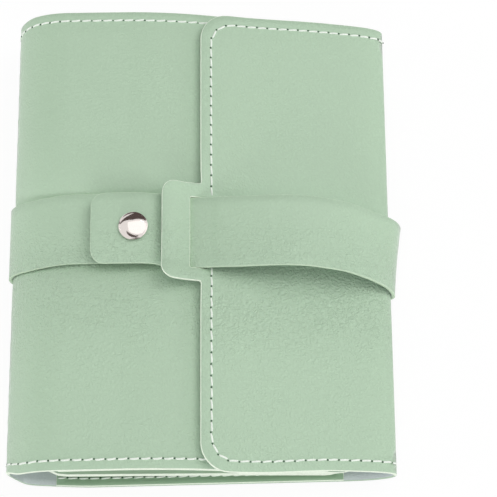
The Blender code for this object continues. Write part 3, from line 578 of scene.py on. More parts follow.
patchy = mapped(tree, cloud, 0.35, 0.65, 0.55, 1.15)
depth = reckon(tree, "MULTIPLY", head_fade, reckon(tree, "MULTIPLY", tail_fade, patchy))
gloss = mapped(tree, cloud, 0.3, 0.7, 0.50, 0.58)
surface(tree, "#B1CBB0", tone, (reckon(tree, "MULTIPLY", depth, grain), 0.85, 0.00030), Roughness=gloss,
        IOR=1.5, Sheen_Weight=0.70, Sheen_Roughness=0.35)

# Brushed polyester fleece on the inner side: no gloss, a soft nap, grey-blue, its short fibres
# about 0.5 mm apart.
fleece, tree, where = object_material("backing_polyester_fleece")
fibres = noise(tree, where, 1800.0, 4.0, 0.7)
nap = reckon(tree, "MULTIPLY_ADD", noise(tree, where, 90.0, 2.0), 0.5, fibres)
surface(tree, "#DBE5E5", mapped(tree, nap, 0.45, 1.05, 0.88, 1.06), (fibres, 0.5, 0.0001), Roughness=0.92,
        Sheen_Weight=0.15, Sheen_Roughness=0.5)

# The knife's raw cut through skin and fleece: pale, dry and slightly fibrous along the edge.
cut_edge, tree, where = object_material("cut_edge_raw")
ragged = noise(tree, where, 1400.0, 4.0, 0.7)
surface(tree, "#F1FBEA", mapped(tree, ragged, 0.3, 0.7, 0.86, 1.04), (ragged, 0.6, 0.00012), Roughness=0.85)

SEAM_INSET = 3.2
COVER_FINISHES = (pu_leather, fleece, cut_edge)
BACK_FINISHES = (pu_leather, fleece, pu_leather)
spine_middle = COVER_LEFT.marks[1]
front_end = COVER_LEFT.reach(53.5, COVER_LEFT.marks[2])


def straight_rows(line, start, end, inset=SEAM_INSET):
    """The two seams along the head and tail edges of a panel."""
    side = HALF_LENGTH - inset
    return [[(d, y) for d in line.between(start, end)] for y in (-side, side)]


def round_the_end(inset, radius, line_from, edge, toward):
    """A seam along both sides of a panel and round the rounded corners of its free end."""
    at = edge - toward * inset
    centre = at - toward * radius
    side = HALF_LENGTH - inset
    near = [(centre + toward * radius * math.sin(t), -(side - radius) - radius * math.cos(t))
            for t in quarter_turn(8)]
    far = [(d, -y) for d, y in reversed(near)]
    return [(line_from, -side)] + near + far + [(line_from, side)]


back_rows = straight_rows(COVER_LEFT, 0.0, spine_middle)
outline = rounded_outline(COVER_LEFT, 0.0, spine_middle, HALF_LENGTH)
back_and_spine = cut_panel("cover_back_to_spine", COVER_LEFT, outline, level(-SHEET), level(0.0),
                           BACK_FINISHES, seams=back_rows)
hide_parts("back_cover", "spine_cover")
SPINE_BEND = ((-0.0520, 0.0, 0.0015), (-0.0632, 0.0, 0.0115))
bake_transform(back_and_spine, "back", "spine", start=SPINE_BEND[0], end=SPINE_BEND[1])

front_rows = [round_the_end(SEAM_INSET, FRONT_CORNER - SEAM_INSET, spine_middle, front_end, 1)]
outline = rounded_outline(COVER_LEFT, spine_middle, front_end, HALF_LENGTH, end_corner=FRONT_CORNER)
spine_and_front = cut_panel("cover_spine_to_front", COVER_LEFT, outline, level(-SHEET), level(0.0),
                            COVER_FINISHES, seams=front_rows)
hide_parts("front_cover")
FRONT_BEND = ((-0.0632, 0.0, 0.0180), (-0.0520, 0.0, 0.0280))
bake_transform(spine_and_front, "spine", "front", start=FRONT_BEND[0], end=FRONT_BEND[1])


# Cover sheet, fore-edge side
# The same kind of sheet turns up round the fore-edge and comes back over the front as the flap.
# Its free edge has two rounded corners, and in its middle a tab with a slot, the keeper, is cut
# in one with it.
def flap_side():
    """The outer face from the keeper's end over the flap, round the fore-edge to the back's middle."""
    start = Vector(front_spot(49.0, FLAP_LIFT))
    slope = Vector((1.0, -0.27)).normalized()
    tip = Vector((63.5, 6.9))
    bend = (start, start + slope * 8.0, tip + Vector((0.0, 4.0)), tip)
    upper = []
    for i in range(25):
        t = i / 24
        weights = ((1 - t) ** 3, 3 * t * (1 - t) ** 2, 3 * t * t * (1 - t), t**3)
        upper.append(sum((w * p for w, p in zip(weights, bend)), Vector((0, 0))))
    return Line(
        [front_spot(-12.8 + 61.8 * i / 44, FLAP_LIFT) for i in range(45)],
        upper,
        arc((45.0, 6.9), (18.5, 5.4), 0.0, -90.0, 20),
        run_of(45.0, 0.0, 12, BACK_FACE),
    )


COVER_RIGHT = flap_side()
fold_middle = COVER_RIGHT.marks[1]
back_middle = COVER_RIGHT.marks[3]
flap_edge = COVER_RIGHT.reach(0.8)
slot_start = COVER_RIGHT.reach(-3.0)
slot_end = COVER_RIGHT.reach(3.0)
FLAP_CORNER = 9.5
FLAP_SEAM_INSET = 3.6
KEEPER_HALF = 17.1
KEEPER_CORNER = 4.5
WRAP_SHIFT = -1.0


def keeper_rise(d, y):
    """The tab lies over the strap's tail, so the sheet rises on to it and stands off at its end."""
    along = 1 - smooth(d, slot_start - 0.5, flap_edge + 5.0)
    across = 1 - smooth(abs(y - WRAP_SHIFT), KEEPER_HALF - 1.0, KEEPER_HALF + 12.0)
    lifted = 3.2 * (1 - smooth(d, 0.0, 10.0))
    return (1.6 * along + lifted) * across


def flap_outline(end):
    """The flap's outline with its rounded corners and the keeper's tab."""
    base = rounded_outline(COVER_RIGHT, flap_edge, end, HALF_LENGTH, start_corner=FLAP_CORNER)
    edge_run = sorted((y for d, y in base if abs(d - flap_edge) < 1e-6), reverse=True)
    outline = [p for p in base if abs(p[0] - flap_edge) >= 1e-6]
    tab_low = WRAP_SHIFT - KEEPER_HALF
    tab_high = WRAP_SHIFT + KEEPER_HALF
    nook = 0.8
    above = [(flap_edge, y) for y in edge_run if y > tab_high + nook + 0.5]
    below = [(flap_edge, y) for y in edge_run if y < tab_low - nook - 0.5]
    # One side of the tab, as distances and how far each point lies inside that side
    tab_side = [(flap_edge, -nook), (flap_edge - 0.25 * nook, -0.25 * nook), (flap_edge - nook, 0.0)]
    tab_side += [(flap_edge - 3.0, 0.0), (flap_edge - 5.5, 0.0)]
    tab_side += [(KEEPER_CORNER * (1 - math.sin(t)), KEEPER_CORNER * (1 - math.cos(t)))
                 for t in quarter_turn(8)]
    step = 2 * (KEEPER_HALF - KEEPER_CORNER) / 12
    tab = [(d, tab_high - inset) for d, inset in tab_side]
    tab += [(0.0, tab_high - KEEPER_CORNER - i * step) for i in range(1, 12)]
    tab += [(d, tab_low + inset) for d, inset in reversed(tab_side)]
    return outline + above + tab + below


def box_loop(d0, d1, y0, y1, radius):
    """A slot's outline, clockwise, with small round corners."""
    loop = []
    for cx, cy, first in ((d0, y0, 270), (d0, y1, 180), (d1, y1, 90), (d1, y0, 0)):
        ox = radius if cx == d0 else -radius
        oy = radius if cy == y0 else -radius
        for i in range(4):
            turn = math.radians(first - 30 * i)
            loop.append((cx + ox + radius * math.cos(turn), cy + oy + radius * math.sin(turn)))
    dense = []
    for a, b in zip(loop, loop[1:] + loop[:1]):
        a, b = Vector(a), Vector(b)
        parts = max(1, int((b - a).length / 2.0))
        dense += [tuple(a.lerp(b, i / parts)) for i in range(parts)]
    return dense


SLOT_HALF = 12.5
slot_loop = box_loop(slot_start, slot_end, WRAP_SHIFT - SLOT_HALF, WRAP_SHIFT + SLOT_HALF, 0.5)
flap_row = round_the_end(FLAP_SEAM_INSET, 8.0, fold_middle, flap_edge, -1)
# The seam stops on both sides of the slot, a little further out on the far side
seam_line = flap_edge + FLAP_SEAM_INSET
near_row = [p for p in flap_row if p[1] < 0] + [(seam_line, WRAP_SHIFT - SLOT_HALF + 1.2)]
far_row = [(seam_line, WRAP_SHIFT + SLOT_HALF + 0.6)] + [p for p in flap_row if p[1] > 0]
flap_and_fold = cut_panel("cover_flap_to_fore_edge", COVER_RIGHT, flap_outline(fold_middle),
                          lambda d, y: keeper_rise(d, y) - SHEET, keeper_rise, COVER_FINISHES,
                          holes=[slot_loop], seams=[near_row, far_row])
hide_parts("flap")
FLAP_BEND = ((0.0642, 0.0, 0.0065), (0.0605, 0.0, 0.0145))
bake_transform(flap_and_fold, "fore_edge", "flap", start=FLAP_BEND[0], end=FLAP_BEND[1])

under_rows = straight_rows(COVER_RIGHT, fold_middle, back_middle)
outline = rounded_outline(COVER_RIGHT, fold_middle, back_middle, HALF_LENGTH)
fold_and_back = cut_panel("cover_fore_edge_to_back", COVER_RIGHT, outline, level(-SHEET), level(0.0),
                          BACK_FINISHES, seams=under_rows)
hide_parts("fore_edge_fold")
FORE_BEND = ((0.0560, 0.0, 0.0015), (0.0635, 0.0, 0.0055))
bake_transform(fold_and_back, "back", "fore_edge", start=FORE_BEND[0], end=FORE_BEND[1])


# Linings
# Three plain panels of the same leather, thinner and smoother, sewn on to the fleece with the
# skin outwards: one in the back, one in the front and one in the flap.
lining_pu, tree, where = object_material("lining_pu_smooth")
pores = noise(tree, where, 1300.0, 3.0, 0.6)
tone = mapped(tree, noise(tree, where, 40.0, 2.0), 0.3, 0.7, 0.96, 1.03)
surface(tree, "#9FBF9E", tone, (pores, 0.3, 0.00008), Roughness=0.55)
LINING = 0.9
LINING_INSET = 1.6
LINING_GAP = 0.08
LINING_FINISHES = (lining_pu, fleece, cut_edge)

BACK_TOP = Line(run_of(-48.6, 46.5, 24, BACK_FACE + SHEET + LINING_GAP))
BACK_LINING_WIDTH = 95.1
outline = rounded_outline(BACK_TOP, 0.0, BACK_LINING_WIDTH, HALF_LENGTH)
back_rows_in = straight_rows(BACK_TOP, 0.0, BACK_LINING_WIDTH, LINING_INSET + 1.0)
back_lining = cut_panel("back_lining_panel", BACK_TOP, outline, level(0.0), level(LINING),
                        LINING_FINISHES, seams=back_rows_in)
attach(back_lining, "back")
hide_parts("back_lining")

FRONT_UNDER = Line([front_spot(52.0 - 97.0 * i / 48, -SHEET - LINING_GAP) for i in range(49)])
front_lining_end = FRONT_UNDER.at[-1]
outline = rounded_outline(FRONT_UNDER, 0.0, front_lining_end, HALF_LENGTH, start_corner=FRONT_CORNER)
front_row_in = round_the_end(SEAM_INSET, FRONT_CORNER, front_lining_end, 0.0, -1)
front_lining = cut_panel("front_lining_panel", FRONT_UNDER, outline, level(0.0), level(LINING),
                         LINING_FINISHES, seams=[front_row_in])
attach(front_lining, "front")
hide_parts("front_lining")

FLAP_UNDER = Line([front_spot(41.0 - 36.5 * i / 16, FLAP_LIFT - SHEET - LINING_GAP) for i in range(17)])
flap_lining_end = FLAP_UNDER.at[-1]
outline = rounded_outline(FLAP_UNDER, 0.0, flap_lining_end, HALF_LENGTH, end_corner=FLAP_CORNER)
flap_row_in = round_the_end(LINING_INSET, FLAP_CORNER, 0.0, flap_lining_end, 1)
flap_lining = cut_panel("flap_lining_panel", FLAP_UNDER, outline, level(0.0), level(LINING),
                        LINING_FINISHES, seams=[flap_row_in])
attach(flap_lining, "flap")
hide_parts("flap_lining")


# Stitching
# A lockstitch in white polyester thread, about 3.7 mm to the stitch. It runs 3.2 mm in from the
# edges of the cover and 3.6 mm on the flap, and 1.6 to 3.2 mm in on the linings. Each stitch lies
# slightly askew and dips into the face at both ends, where a flat dark disc is painted shade for
# the needle hole.
polyester_thread, tree, where = object_material("thread_polyester_twisted")
plies = noise(tree, where, 3200.0, 2.0)
surface(tree, "#F5FCF3", mapped(tree, plies, 0.3, 0.7, 0.88, 1.03), (plies, 0.5, 0.00008), Roughness=0.5,
        Sheen_Weight=0.2)

# Painted shade: a dark flat disc under each stitch's end stands in for the needle hole's inside.
needle_hole_shade, tree, where = object_material("needle_hole_painted_shade")
surface(tree, "#45634A", mapped(tree, noise(tree, where, 2400.0, 2.0), 0.3, 0.7, 0.8, 1.1), Roughness=0.8)


def new_tree(name, sizes):
    """A Geometry Nodes tree with its named inputs, and those inputs' sockets."""
    tree = bpy.data.node_groups.new(name, "GeometryNodeTree")
    tree.interface.new_socket("Geometry", in_out="INPUT", socket_type="NodeSocketGeometry")
    for label, value in sizes:
        kind = "NodeSocketInt" if isinstance(value, int) else "NodeSocketFloat"
        socket = tree.interface.new_socket(label, in_out="INPUT", socket_type=kind)
        socket.default_value = value
    tree.interface.new_socket("Geometry", in_out="OUTPUT", socket_type="NodeSocketGeometry")
    return tree, node(tree, "NodeGroupInput").outputs


def vector_of(tree, **parts):
    """A vector made from its parts."""
    return node(tree, "ShaderNodeCombineXYZ", **parts).outputs[0]


def run_tree(guide, tree, name, **settings):
    """Run a tree over an object, with its inputs set, and return what it makes as a plain mesh."""
    modifier = guide.modifiers.new(tree.name, "NODES")
    modifier.node_group = tree
    sockets = {s.name: s.identifier for s in tree.interface.items_tree if s.in_out == "INPUT"}
    for label, value in settings.items():
        modifier[sockets[label.replace("_", " ")]] = value
    evaluated = guide.evaluated_get(bpy.context.evaluated_depsgraph_get())
    made = bpy.data.meshes.new_from_object(evaluated)
    bpy.data.objects.remove(guide)
    made.name = name
    return made


STITCH_PITCH = 3.67
STITCH_SEED = 7
sewing, given = new_tree("sew_lockstitch", (
    ("Thread Length", 2.85 * MM), ("Thread Width", 0.66 * MM), ("Thread Height", 0.42 * MM),
    ("Hole Length", 0.86 * MM), ("Hole Width", 0.72 * MM), ("Hole Distance", STITCH_PITCH / 2 * MM),
    ("Slant", math.radians(5.0)), ("Unevenness", math.radians(2.5)), ("Seed", STITCH_SEED),
))
sunk = reckon(sewing, "MULTIPLY", given["Thread Height"], -0.75)
crest = reckon(sewing, "MULTIPLY", given["Thread Height"], 0.85)
left_end = vector_of(sewing, X=reckon(sewing, "MULTIPLY", given["Thread Length"], -0.5), Z=sunk)
right_end = vector_of(sewing, X=reckon(sewing, "MULTIPLY", given["Thread Length"], 0.5), Z=sunk)
bow = node(sewing, "GeometryNodeCurveQuadraticBezier", Resolution=6, Start=left_end,
           Middle=vector_of(sewing, Z=crest), End=right_end)
half_width = reckon(sewing, "MULTIPLY", given["Thread Width"], 0.5)
round_profile = node(sewing, "GeometryNodeCurvePrimitiveCircle", Resolution=7, Radius=half_width)
thread_tube = node(sewing, "GeometryNodeCurveToMesh", Curve=bow.outputs[0],
                   Profile_Curve=round_profile.outputs[0], Fill_Caps=True)
# A flat disc sunk just under the face at each end, coloured dark as the painted shade of the hole
dot = node(sewing, "GeometryNodeMeshIcoSphere", Radius=0.5, Subdivisions=1)
dots = node(sewing, "GeometryNodeTransform", Geometry=dot.outputs[0],
            Translation=vector_of(sewing, X=given["Hole Distance"], Z=-0.00002),
            Scale=vector_of(sewing, X=given["Hole Length"], Y=given["Hole Width"], Z=0.00012))
marked = node(sewing, "GeometryNodeStoreNamedAttribute", {"data_type": "BOOLEAN", "domain": "FACE"},
              Geometry=dots.outputs[0], Name="painted_hole_shade", Value=True)
one_stitch = node(sewing, "GeometryNodeJoinGeometry")
sewing.links.new(thread_tube.outputs[0], one_stitch.inputs[0])
sewing.links.new(marked.outputs[0], one_stitch.inputs[0])
along = node(sewing, "GeometryNodeInputNamedAttribute", {"data_type": "FLOAT_VECTOR"}, Name="along")
outward = node(sewing, "GeometryNodeInputNamedAttribute", {"data_type": "FLOAT_VECTOR"}, Name="outward")
turned = node(sewing, "FunctionNodeAlignRotationToVector", {"axis": "X"}, Vector=along.outputs[0])
turned = node(sewing, "FunctionNodeAlignRotationToVector", {"axis": "Z", "pivot_axis": "X"},
              Rotation=turned.outputs[0], Vector=outward.outputs[0])
askew = node(sewing, "FunctionNodeRandomValue", {"data_type": "FLOAT"},
             at2=reckon(sewing, "SUBTRACT", given["Slant"], given["Unevenness"]),
             at3=reckon(sewing, "ADD", given["Slant"], given["Unevenness"]), Seed=given["Seed"])
lean = node(sewing, "FunctionNodeEulerToRotation", Euler=vector_of(sewing, Z=askew.outputs[1]))
turned = node(sewing, "FunctionNodeRotateRotation", {"rotation_space": "LOCAL"}, Rotation=turned.outputs[0],
              Rotate_By=lean.outputs[0])
spots = node(sewing, "GeometryNodeMeshToPoints", Mesh=given["Geometry"])
placed = node(sewing, "GeometryNodeInstanceOnPoints", Points=spots.outputs[0],
              Instance=one_stitch.outputs[0], Rotation=turned.outputs[0])
real = node(sewing, "GeometryNodeRealizeInstances", Geometry=placed.outputs[0])
is_painted_hole_shade = node(sewing, "GeometryNodeInputNamedAttribute", {"data_type": "BOOLEAN"}, Name="painted_hole_shade")
threaded = node(sewing, "GeometryNodeSetMaterial", Geometry=real.outputs[0], Material=polyester_thread)
finished = node(sewing, "GeometryNodeSetMaterial", Geometry=threaded.outputs[0],
                Selection=is_painted_hole_shade.outputs[0], Material=needle_hole_shade)
node(sewing, "NodeGroupOutput", Geometry=finished.outputs[0])


def along_row(plan, pitch):
    """Evenly spaced (distance, y) spots along a seam, half a stitch in from its ends."""
    plan = [Vector(p) for p in plan]
    at = [0.0]
    for a, b in zip(plan, plan[1:]):
        at.append(at[-1] + (b - a).length)
    count = max(1, round(at[-1] / pitch))
    spots = []
    i = 0
    for k in range(count):
        goal = (k + 0.5) * at[-1] / count
        while at[i + 1] < goal:
            i += 1
        share = (goal - at[i]) / (at[i + 1] - at[i])
        spots.append((plan[i].lerp(plan[i + 1], share), (plan[i + 1] - plan[i]).normalized()))
    return spots


def sew(name, rows, node_names):
    """Sew every row of (line, plan, face) in a list, and return the stitches as one piece."""
    points, alongs, outwards = [], [], []
    for line, plan, face in rows:
        for spot, step in along_row(plan, STITCH_PITCH):
            offset = face(spot.x, spot.y)
            here = line.spot(spot.x, offset)
            ahead = line.spot(spot.x + 0.3 * step.x, face(spot.x + 0.3 * step.x, spot.y + 0.3 * step.y))
            behind = line.spot(spot.x - 0.3 * step.x, face(spot.x - 0.3 * step.x, spot.y - 0.3 * step.y))
            higher = line.spot(spot.x, offset + 0.5)
            base = place(here.x, spot.y, here.y)
            a = place(ahead.x, spot.y + 0.3 * step.y, ahead.y)
            b = place(behind.x, spot.y - 0.3 * step.y, behind.y)
            points.append(base)
            alongs.append((a - b).normalized())
            outwards.append((place(higher.x, spot.y, higher.y) - base).normalized())
    mesh = bpy.data.meshes.new(name + "_spots")
    mesh.from_pydata(points, [], [])
    for label, values in (("along", alongs), ("outward", outwards)):
        layer = mesh.attributes.new(label, "FLOAT_VECTOR", "POINT")
        layer.data.foreach_set("vector", [c for v in values for c in v])
    stitches = run_tree(link(name + "_spots", mesh), sewing, name, Seed=STITCH_SEED)
    for layer in list(stitches.attributes):
        if layer.name in ("painted_hole_shade", "along", "outward"):
            stitches.attributes.remove(layer)
    stitches.shade_smooth()
    piece = link(name, stitches)
    if node_names:
        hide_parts(*node_names)
    return piece


def row_face(d, y):
    """The thread lies in the shallow trough that it pulls into a face."""
    return -0.05


def on_keeper(d, y):
    """The trough on the flap, which rises on to the keeper."""
    return keeper_rise(d, y) - 0.05


def lining_face(d, y):
    """The trough on a lining."""
    return LINING - 0.05


stitched = sew("stitches_back_to_spine", [(COVER_LEFT, row, row_face) for row in back_rows],
               ["spine_seam_head_edge", "spine_seam_tail_edge"])
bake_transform(stitched, "back", "spine", start=SPINE_BEND[0], end=SPINE_BEND[1])
stitched = sew("stitches_spine_to_front", [(COVER_LEFT, row, row_face) for row in front_rows],
               ["front_seam"])
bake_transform(stitched, "spine", "front", start=FRONT_BEND[0], end=FRONT_BEND[1])
stitched = sew("stitches_fore_edge_to_flap", [(COVER_RIGHT, row, on_keeper) for row in (near_row, far_row)],
               ["flap_seam_head_edge", "flap_seam_tail_edge"])
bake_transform(stitched, "fore_edge", "flap", start=FLAP_BEND[0], end=FLAP_BEND[1])
stitched = sew("stitches_back_to_fore_edge", [(COVER_RIGHT, row, row_face) for row in under_rows],
               ["fore_edge_seam_head_edge", "fore_edge_seam_tail_edge"])
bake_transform(stitched, "back", "fore_edge", start=FORE_BEND[0], end=FORE_BEND[1])
stitched = sew("stitches_back_lining", [(BACK_TOP, row, lining_face) for row in back_rows_in],
               ["back_seam_head_edge", "back_seam_tail_edge"])
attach(stitched, "back")
stitched = sew("stitches_front_lining", [(FRONT_UNDER, front_row_in, lining_face)], [])
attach(stitched, "front")
stitched = sew("stitches_flap_lining", [(FLAP_UNDER, flap_row_in, lining_face)], [])
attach(stitched, "flap")


# Strap
# A long band of the same leather with dyed edges, sewn to the back. It goes round the spine and
# over the front on one side, and on the other round the fore-edge, in a high arch over the flap,
# down through the keeper's slot, and ends in a rounded tail.
STRAP = 1.2
STRAP_DRIFT = -6.2
BAND_SHIFT = 1.4
STRAP_LEFT = spine_side(0.3)

# The strap's cut edge is dyed a lighter green than its skin, and is matt.
dyed_edge, tree, where = object_material("cut_edge_dyed")
ragged = noise(tree, where, 1400.0, 4.0, 0.7)
surface(tree, "#CBDFC6", mapped(tree, ragged, 0.3, 0.7, 0.88, 1.04), (ragged, 0.5, 0.0001), Roughness=0.8)
STRAP_FINISHES = (pu_leather, fleece, dyed_edge)


def lay_strap(name, line, start, end, low, drift, start_corner=0.0):
    """A length of the strap between two distances, along a line, drifting sideways."""
    outline = rounded_outline(line, start, end, STRAP_HALF, start_corner=start_corner)
    piece = cut_panel(name, line, outline, low, lambda d, y: low(d, y) + STRAP, STRAP_FINISHES, rows=3.0,
                      close_rows=())
    lay = piece.data.uv_layers["lay"].data
    distances = {corner.vertex_index: lay[corner.index].uv[0] / MM for corner in piece.data.loops}
    for index, distance in distances.items():
        piece.data.vertices[index].co.y += drift(distance) * MM
    return piece


def back_drift(x):
    """Sideways place of the strap under the back."""
    return STRAP_DRIFT * (x + 45.0) / 90.0


strap_middle = STRAP_LEFT.marks[1]
piece = lay_strap("strap_back_to_spine", STRAP_LEFT, 0.0, strap_middle, level(0.0),
                  lambda d: back_drift(-min(d, 45.0)))
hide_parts("strap_back", "strap_spine")
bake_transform(piece, "back", "spine", start=SPINE_BEND[0], end=SPINE_BEND[1])

band_end = STRAP_LEFT.reach(-7.0, STRAP_LEFT.marks[2])
band_start = STRAP_LEFT.reach(-58.0, STRAP_LEFT.marks[1])
piece = lay_strap("strap_spine_to_front", STRAP_LEFT, strap_middle, band_end, level(0.0),
                  lambda d: BAND_SHIFT * smooth(d, band_start, band_start + 18.0))
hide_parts("strap_band")
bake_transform(piece, "spine", "front", start=FRONT_BEND[0], end=FRONT_BEND[1])

TAIL_LIFT = 1.8
FORE_EDGE_X = 63.5
# Heights of the strap's arch above the front's face, and its sideways place, both by distance
# back from the fore-edge
ARCH_RISE = [(55.5, 7.1), (46.5, 10.4), (36.5, 12.9), (26.5, 13.5), (16.5, 12.5), (8.5, 9.6),
             (3.0, 5.6), (0.4, 2.2)]
ARCH_DRIFT = [(60.0, -1.1), (50.0, -1.6), (28.5, -1.6), (22.5, -2.0), (15.0, -2.6), (8.5, -3.7),
              (2.5, -4.8)]


def smooth_curve(points, steps):
    """Points on a smooth curve through the given ones."""
    ends = [points[0]] + list(points) + [points[-1]]
    line = []
    for a, b, c, d in zip(ends, ends[1:], ends[2:], ends[3:]):
        for k in range(steps):
            t = k / steps
            line.append(tuple(
                0.5 * (2 * q + (r - p) * t + (2 * p - 5 * q + 4 * r - s) * t * t
                       + (3 * q - p - 3 * r + s) * t**3)
                for p, q, r, s in zip(a, b, c, d)
            ))
    line.append(tuple(points[-1]))
    return line


def fore_edge_side():
    """The strap's inner face from under the keeper over the flap to the back's middle."""
    points = [front_spot(x, TAIL_LIFT) for x in (-8.6, -6.4, -4.4)]
    points += [front_spot(-1.4, 3.3), front_spot(3.2, 5.1)]
    for back, rise in ARCH_RISE:
        x = FORE_EDGE_X - back
        points.append((x, front_height(x) + rise))
    points.append((63.8, 6.9))
    return Line(
        smooth_curve(points, 8),
        arc((45.0, 6.9), (18.8, 5.7), 0.0, -90.0, 20),
        run_of(45.0, 0.0, 12, BACK_FACE - 0.3),
    )


STRAP_RIGHT = fore_edge_side()
strap_turn = STRAP_RIGHT.marks[0]


def arch_drift(d):
    """Sideways place of the strap along its arch and down round the fore-edge."""
    table = [(0.0, WRAP_SHIFT)]
    table += [(STRAP_RIGHT.reach(FORE_EDGE_X - back), drift) for back, drift in ARCH_DRIFT]
    table += [(strap_turn, STRAP_DRIFT), (STRAP_RIGHT.marks[1], STRAP_DRIFT)]
    table.append((STRAP_RIGHT.marks[2], back_drift(0.0)))
    slopes = [0.0]
    for (d0, v0), (d1, v1) in zip(table, table[2:]):
        slopes.append((v1 - v0) / (d1 - d0))
    slopes[0] = slopes[1] / 2
    slopes.append((table[-1][1] - table[-2][1]) / (table[-1][0] - table[-2][0]))
    for i in range(len(table) - 1):
        (d0, v0), (d1, v1) = table[i], table[i + 1]
        if d <= d1:
            wide = d1 - d0
            t = max(d - d0, 0.0) / wide
            leave = slopes[i] * wide * t * (1 - t) ** 2
            arrive = -slopes[i + 1] * wide * t * t * (1 - t)
            return v0 + (v1 - v0) * t * t * (3 - 2 * t) + leave + arrive
    return table[-1][1]


def arch_face(d, y):
    """The strap is pulled tight at its near side and stands off the fold at its far side."""
    on_arch = smooth(d, strap_turn - 16.0, strap_turn - 1.0)
    off_fold = 1 - smooth(d, strap_turn + 1.0, strap_turn + 9.0)
    across = max((y + STRAP_HALF) / (2 * STRAP_HALF), 0.0)
    return 2.7 * (on_arch * off_fold) * across**1.4


piece = lay_strap("strap_arch_to_fore_edge", STRAP_RIGHT, 0.0, strap_turn, arch_face, arch_drift)
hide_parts("strap_arch")
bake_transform(piece, "fore_edge", "flap", start=FLAP_BEND[0], end=FLAP_BEND[1])
piece = lay_strap("strap_fore_edge_to_back", STRAP_RIGHT, strap_turn, STRAP_RIGHT.at[-1], arch_face,
                  arch_drift)
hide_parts("strap_bend")
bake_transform(piece, "back", "fore_edge", start=FORE_BEND[0], end=FORE_BEND[1])

TAIL_START = -35.7
TAIL_RUN = 27.1
TAIL_RISE = 3.2
TAIL_LINE = Line([front_spot(TAIL_START + TAIL_RUN * i / 44, TAIL_LIFT) for i in range(45)])
tail_length = TAIL_LINE.at[-1]
SNAP_X = -21.5
SNAP_Y = WRAP_SHIFT + BAND_SHIFT


def tail_face(d, y):
    """The tail rises gently over the snap's stud, and its sides hang down a little."""
    x = TAIL_START + TAIL_RUN * d / tail_length
    sag = (1.5 if y < 0.0 else 0.5) * abs(y / STRAP_HALF) ** 2.5
    return (TAIL_RISE - sag) * smooth(-9.0 - x, 0.0, 12.0)


piece = lay_strap("strap_tail_end", TAIL_LINE, 0.0, tail_length, tail_face,
                  lambda d: WRAP_SHIFT + BAND_SHIFT * (1 - smooth(d, tail_length - 7.0, tail_length)),
                  start_corner=4.8)
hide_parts("strap_tail")
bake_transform(piece, "flap", "tail", start=(-0.0115, 0, 0.030), end=(-0.0148, 0, 0.030))


# Snap
# A press stud in chromed steel: a domed cap on the tail with its socket underneath, and on the
# band the stud with the small rivet that holds it. Each is a turned or pressed round part.
chrome, tree, where = object_material("steel_chrome_plated")
haze = noise(tree, where, 900.0, 2.0)
tone = mapped(tree, haze, 0.3, 0.7, 0.97, 1.0)
surface(tree, "#E3DBD6", tone, (haze, 0.02, 0.00005), Metallic=1.0,
        Roughness=mapped(tree, haze, 0.3, 0.7, 0.07, 0.13))


def turn_part(name, profile, centre, axis, finish, sides=56):
    """Turn (radius, height) points about an axis through a centre; a radius of 0 closes a pole."""
    lead = Vector(axis).normalized()
    side = lead.orthogonal().normalized()
    other = lead.cross(side)
    points, rings = [], []
    for radius, height in profile:
        ring = []
        for i in range(1 if radius == 0 else sides):
            angle = 2 * math.pi * i / sides
            spot = lead * height + (side * math.cos(angle) + other * math.sin(angle)) * radius
            ring.append(len(points))
            points.append((Vector(centre) + spot) * MM)
        rings.append(ring)
    faces = []
    for low, high in zip(rings, rings[1:]):
        for i in range(sides):
            j = (i + 1) % sides
            if len(low) == 1:
                faces.append((low[0], high[j], high[i]))
            elif len(high) == 1:
                faces.append((low[i], low[j], high[0]))
            else:
                faces.append((low[i], low[j], high[j], high[i]))
    mesh = bpy.data.meshes.new(name)
    mesh.from_pydata(points, [], faces)
    mesh.shade_smooth()
    mesh.set_sharp_from_angle(angle=math.radians(40))
    return link(name, mesh, finish)


def over_front(x, y, offset):
    """A point above the front's outer face, in millimetres."""
    spot = front_spot(x, offset)
    return place(spot[0], y, spot[1]) / MM


tail_spot = over_front(SNAP_X, SNAP_Y, TAIL_LIFT) + Vector((0.0, 0.0, TAIL_RISE))
band_spot = over_front(SNAP_X, SNAP_Y, 0.3)
upright = (0.0135, 0.0, 1.0)
DOME = 8.02
CAP_HEIGHT = 1.97
crown_radii = [4.6 - 0.23 * i for i in range(20)]
crown = [(radius, CAP_HEIGHT - DOME + math.sqrt(DOME**2 - radius**2)) for radius in crown_radii]
cap_profile = [(0.0, -1.5), (1.5, -1.5), (1.5, 0.05), (4.35, 0.05), (4.72, 0.10), (4.88, 0.22), (4.84, 0.38)]
cap_profile += crown + [(0.0, CAP_HEIGHT)]
cap_centre = tail_spot + Vector((0, 0, STRAP))
snap_cap = turn_part("snap_cap_dome", cap_profile, cap_centre, upright, chrome)
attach(snap_cap, "tail")
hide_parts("snap_cap")

socket_profile = [(2.3, -1.35), (3.2, -1.4), (4.1, -1.3), (4.3, -1.05), (4.3, -0.3), (4.1, -0.12),
                  (1.65, -0.12), (1.65, -0.6), (2.3, -0.6), (2.3, -1.35)]
snap_socket = turn_part("snap_socket_ring", socket_profile, tail_spot, upright, chrome)
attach(snap_socket, "tail")
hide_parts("snap_socket")

stud_profile = [(0.0, 1.3), (4.2, 1.3), (4.3, 1.4), (4.2, 1.62), (1.9, 1.66), (1.35, 1.8), (1.3, 2.1),
                (1.65, 2.45), (1.7, 2.75), (1.4, 3.05), (0.0, 3.12)]
snap_stud = turn_part("snap_stud_ball", stud_profile, band_spot, upright, chrome)
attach(snap_stud, "front")
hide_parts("snap_stud")
rivet_profile = [(0.0, -0.12), (3.1, -0.12), (3.2, -0.02), (3.1, 0.1), (0.7, 0.12), (0.7, 1.25), (0.0, 1.25)]
stud_rivet = turn_part("snap_stud_rivet_head", rivet_profile, band_spot, upright, chrome, sides=32)
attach(stud_rivet, "front")
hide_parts("snap_stud_rivet")


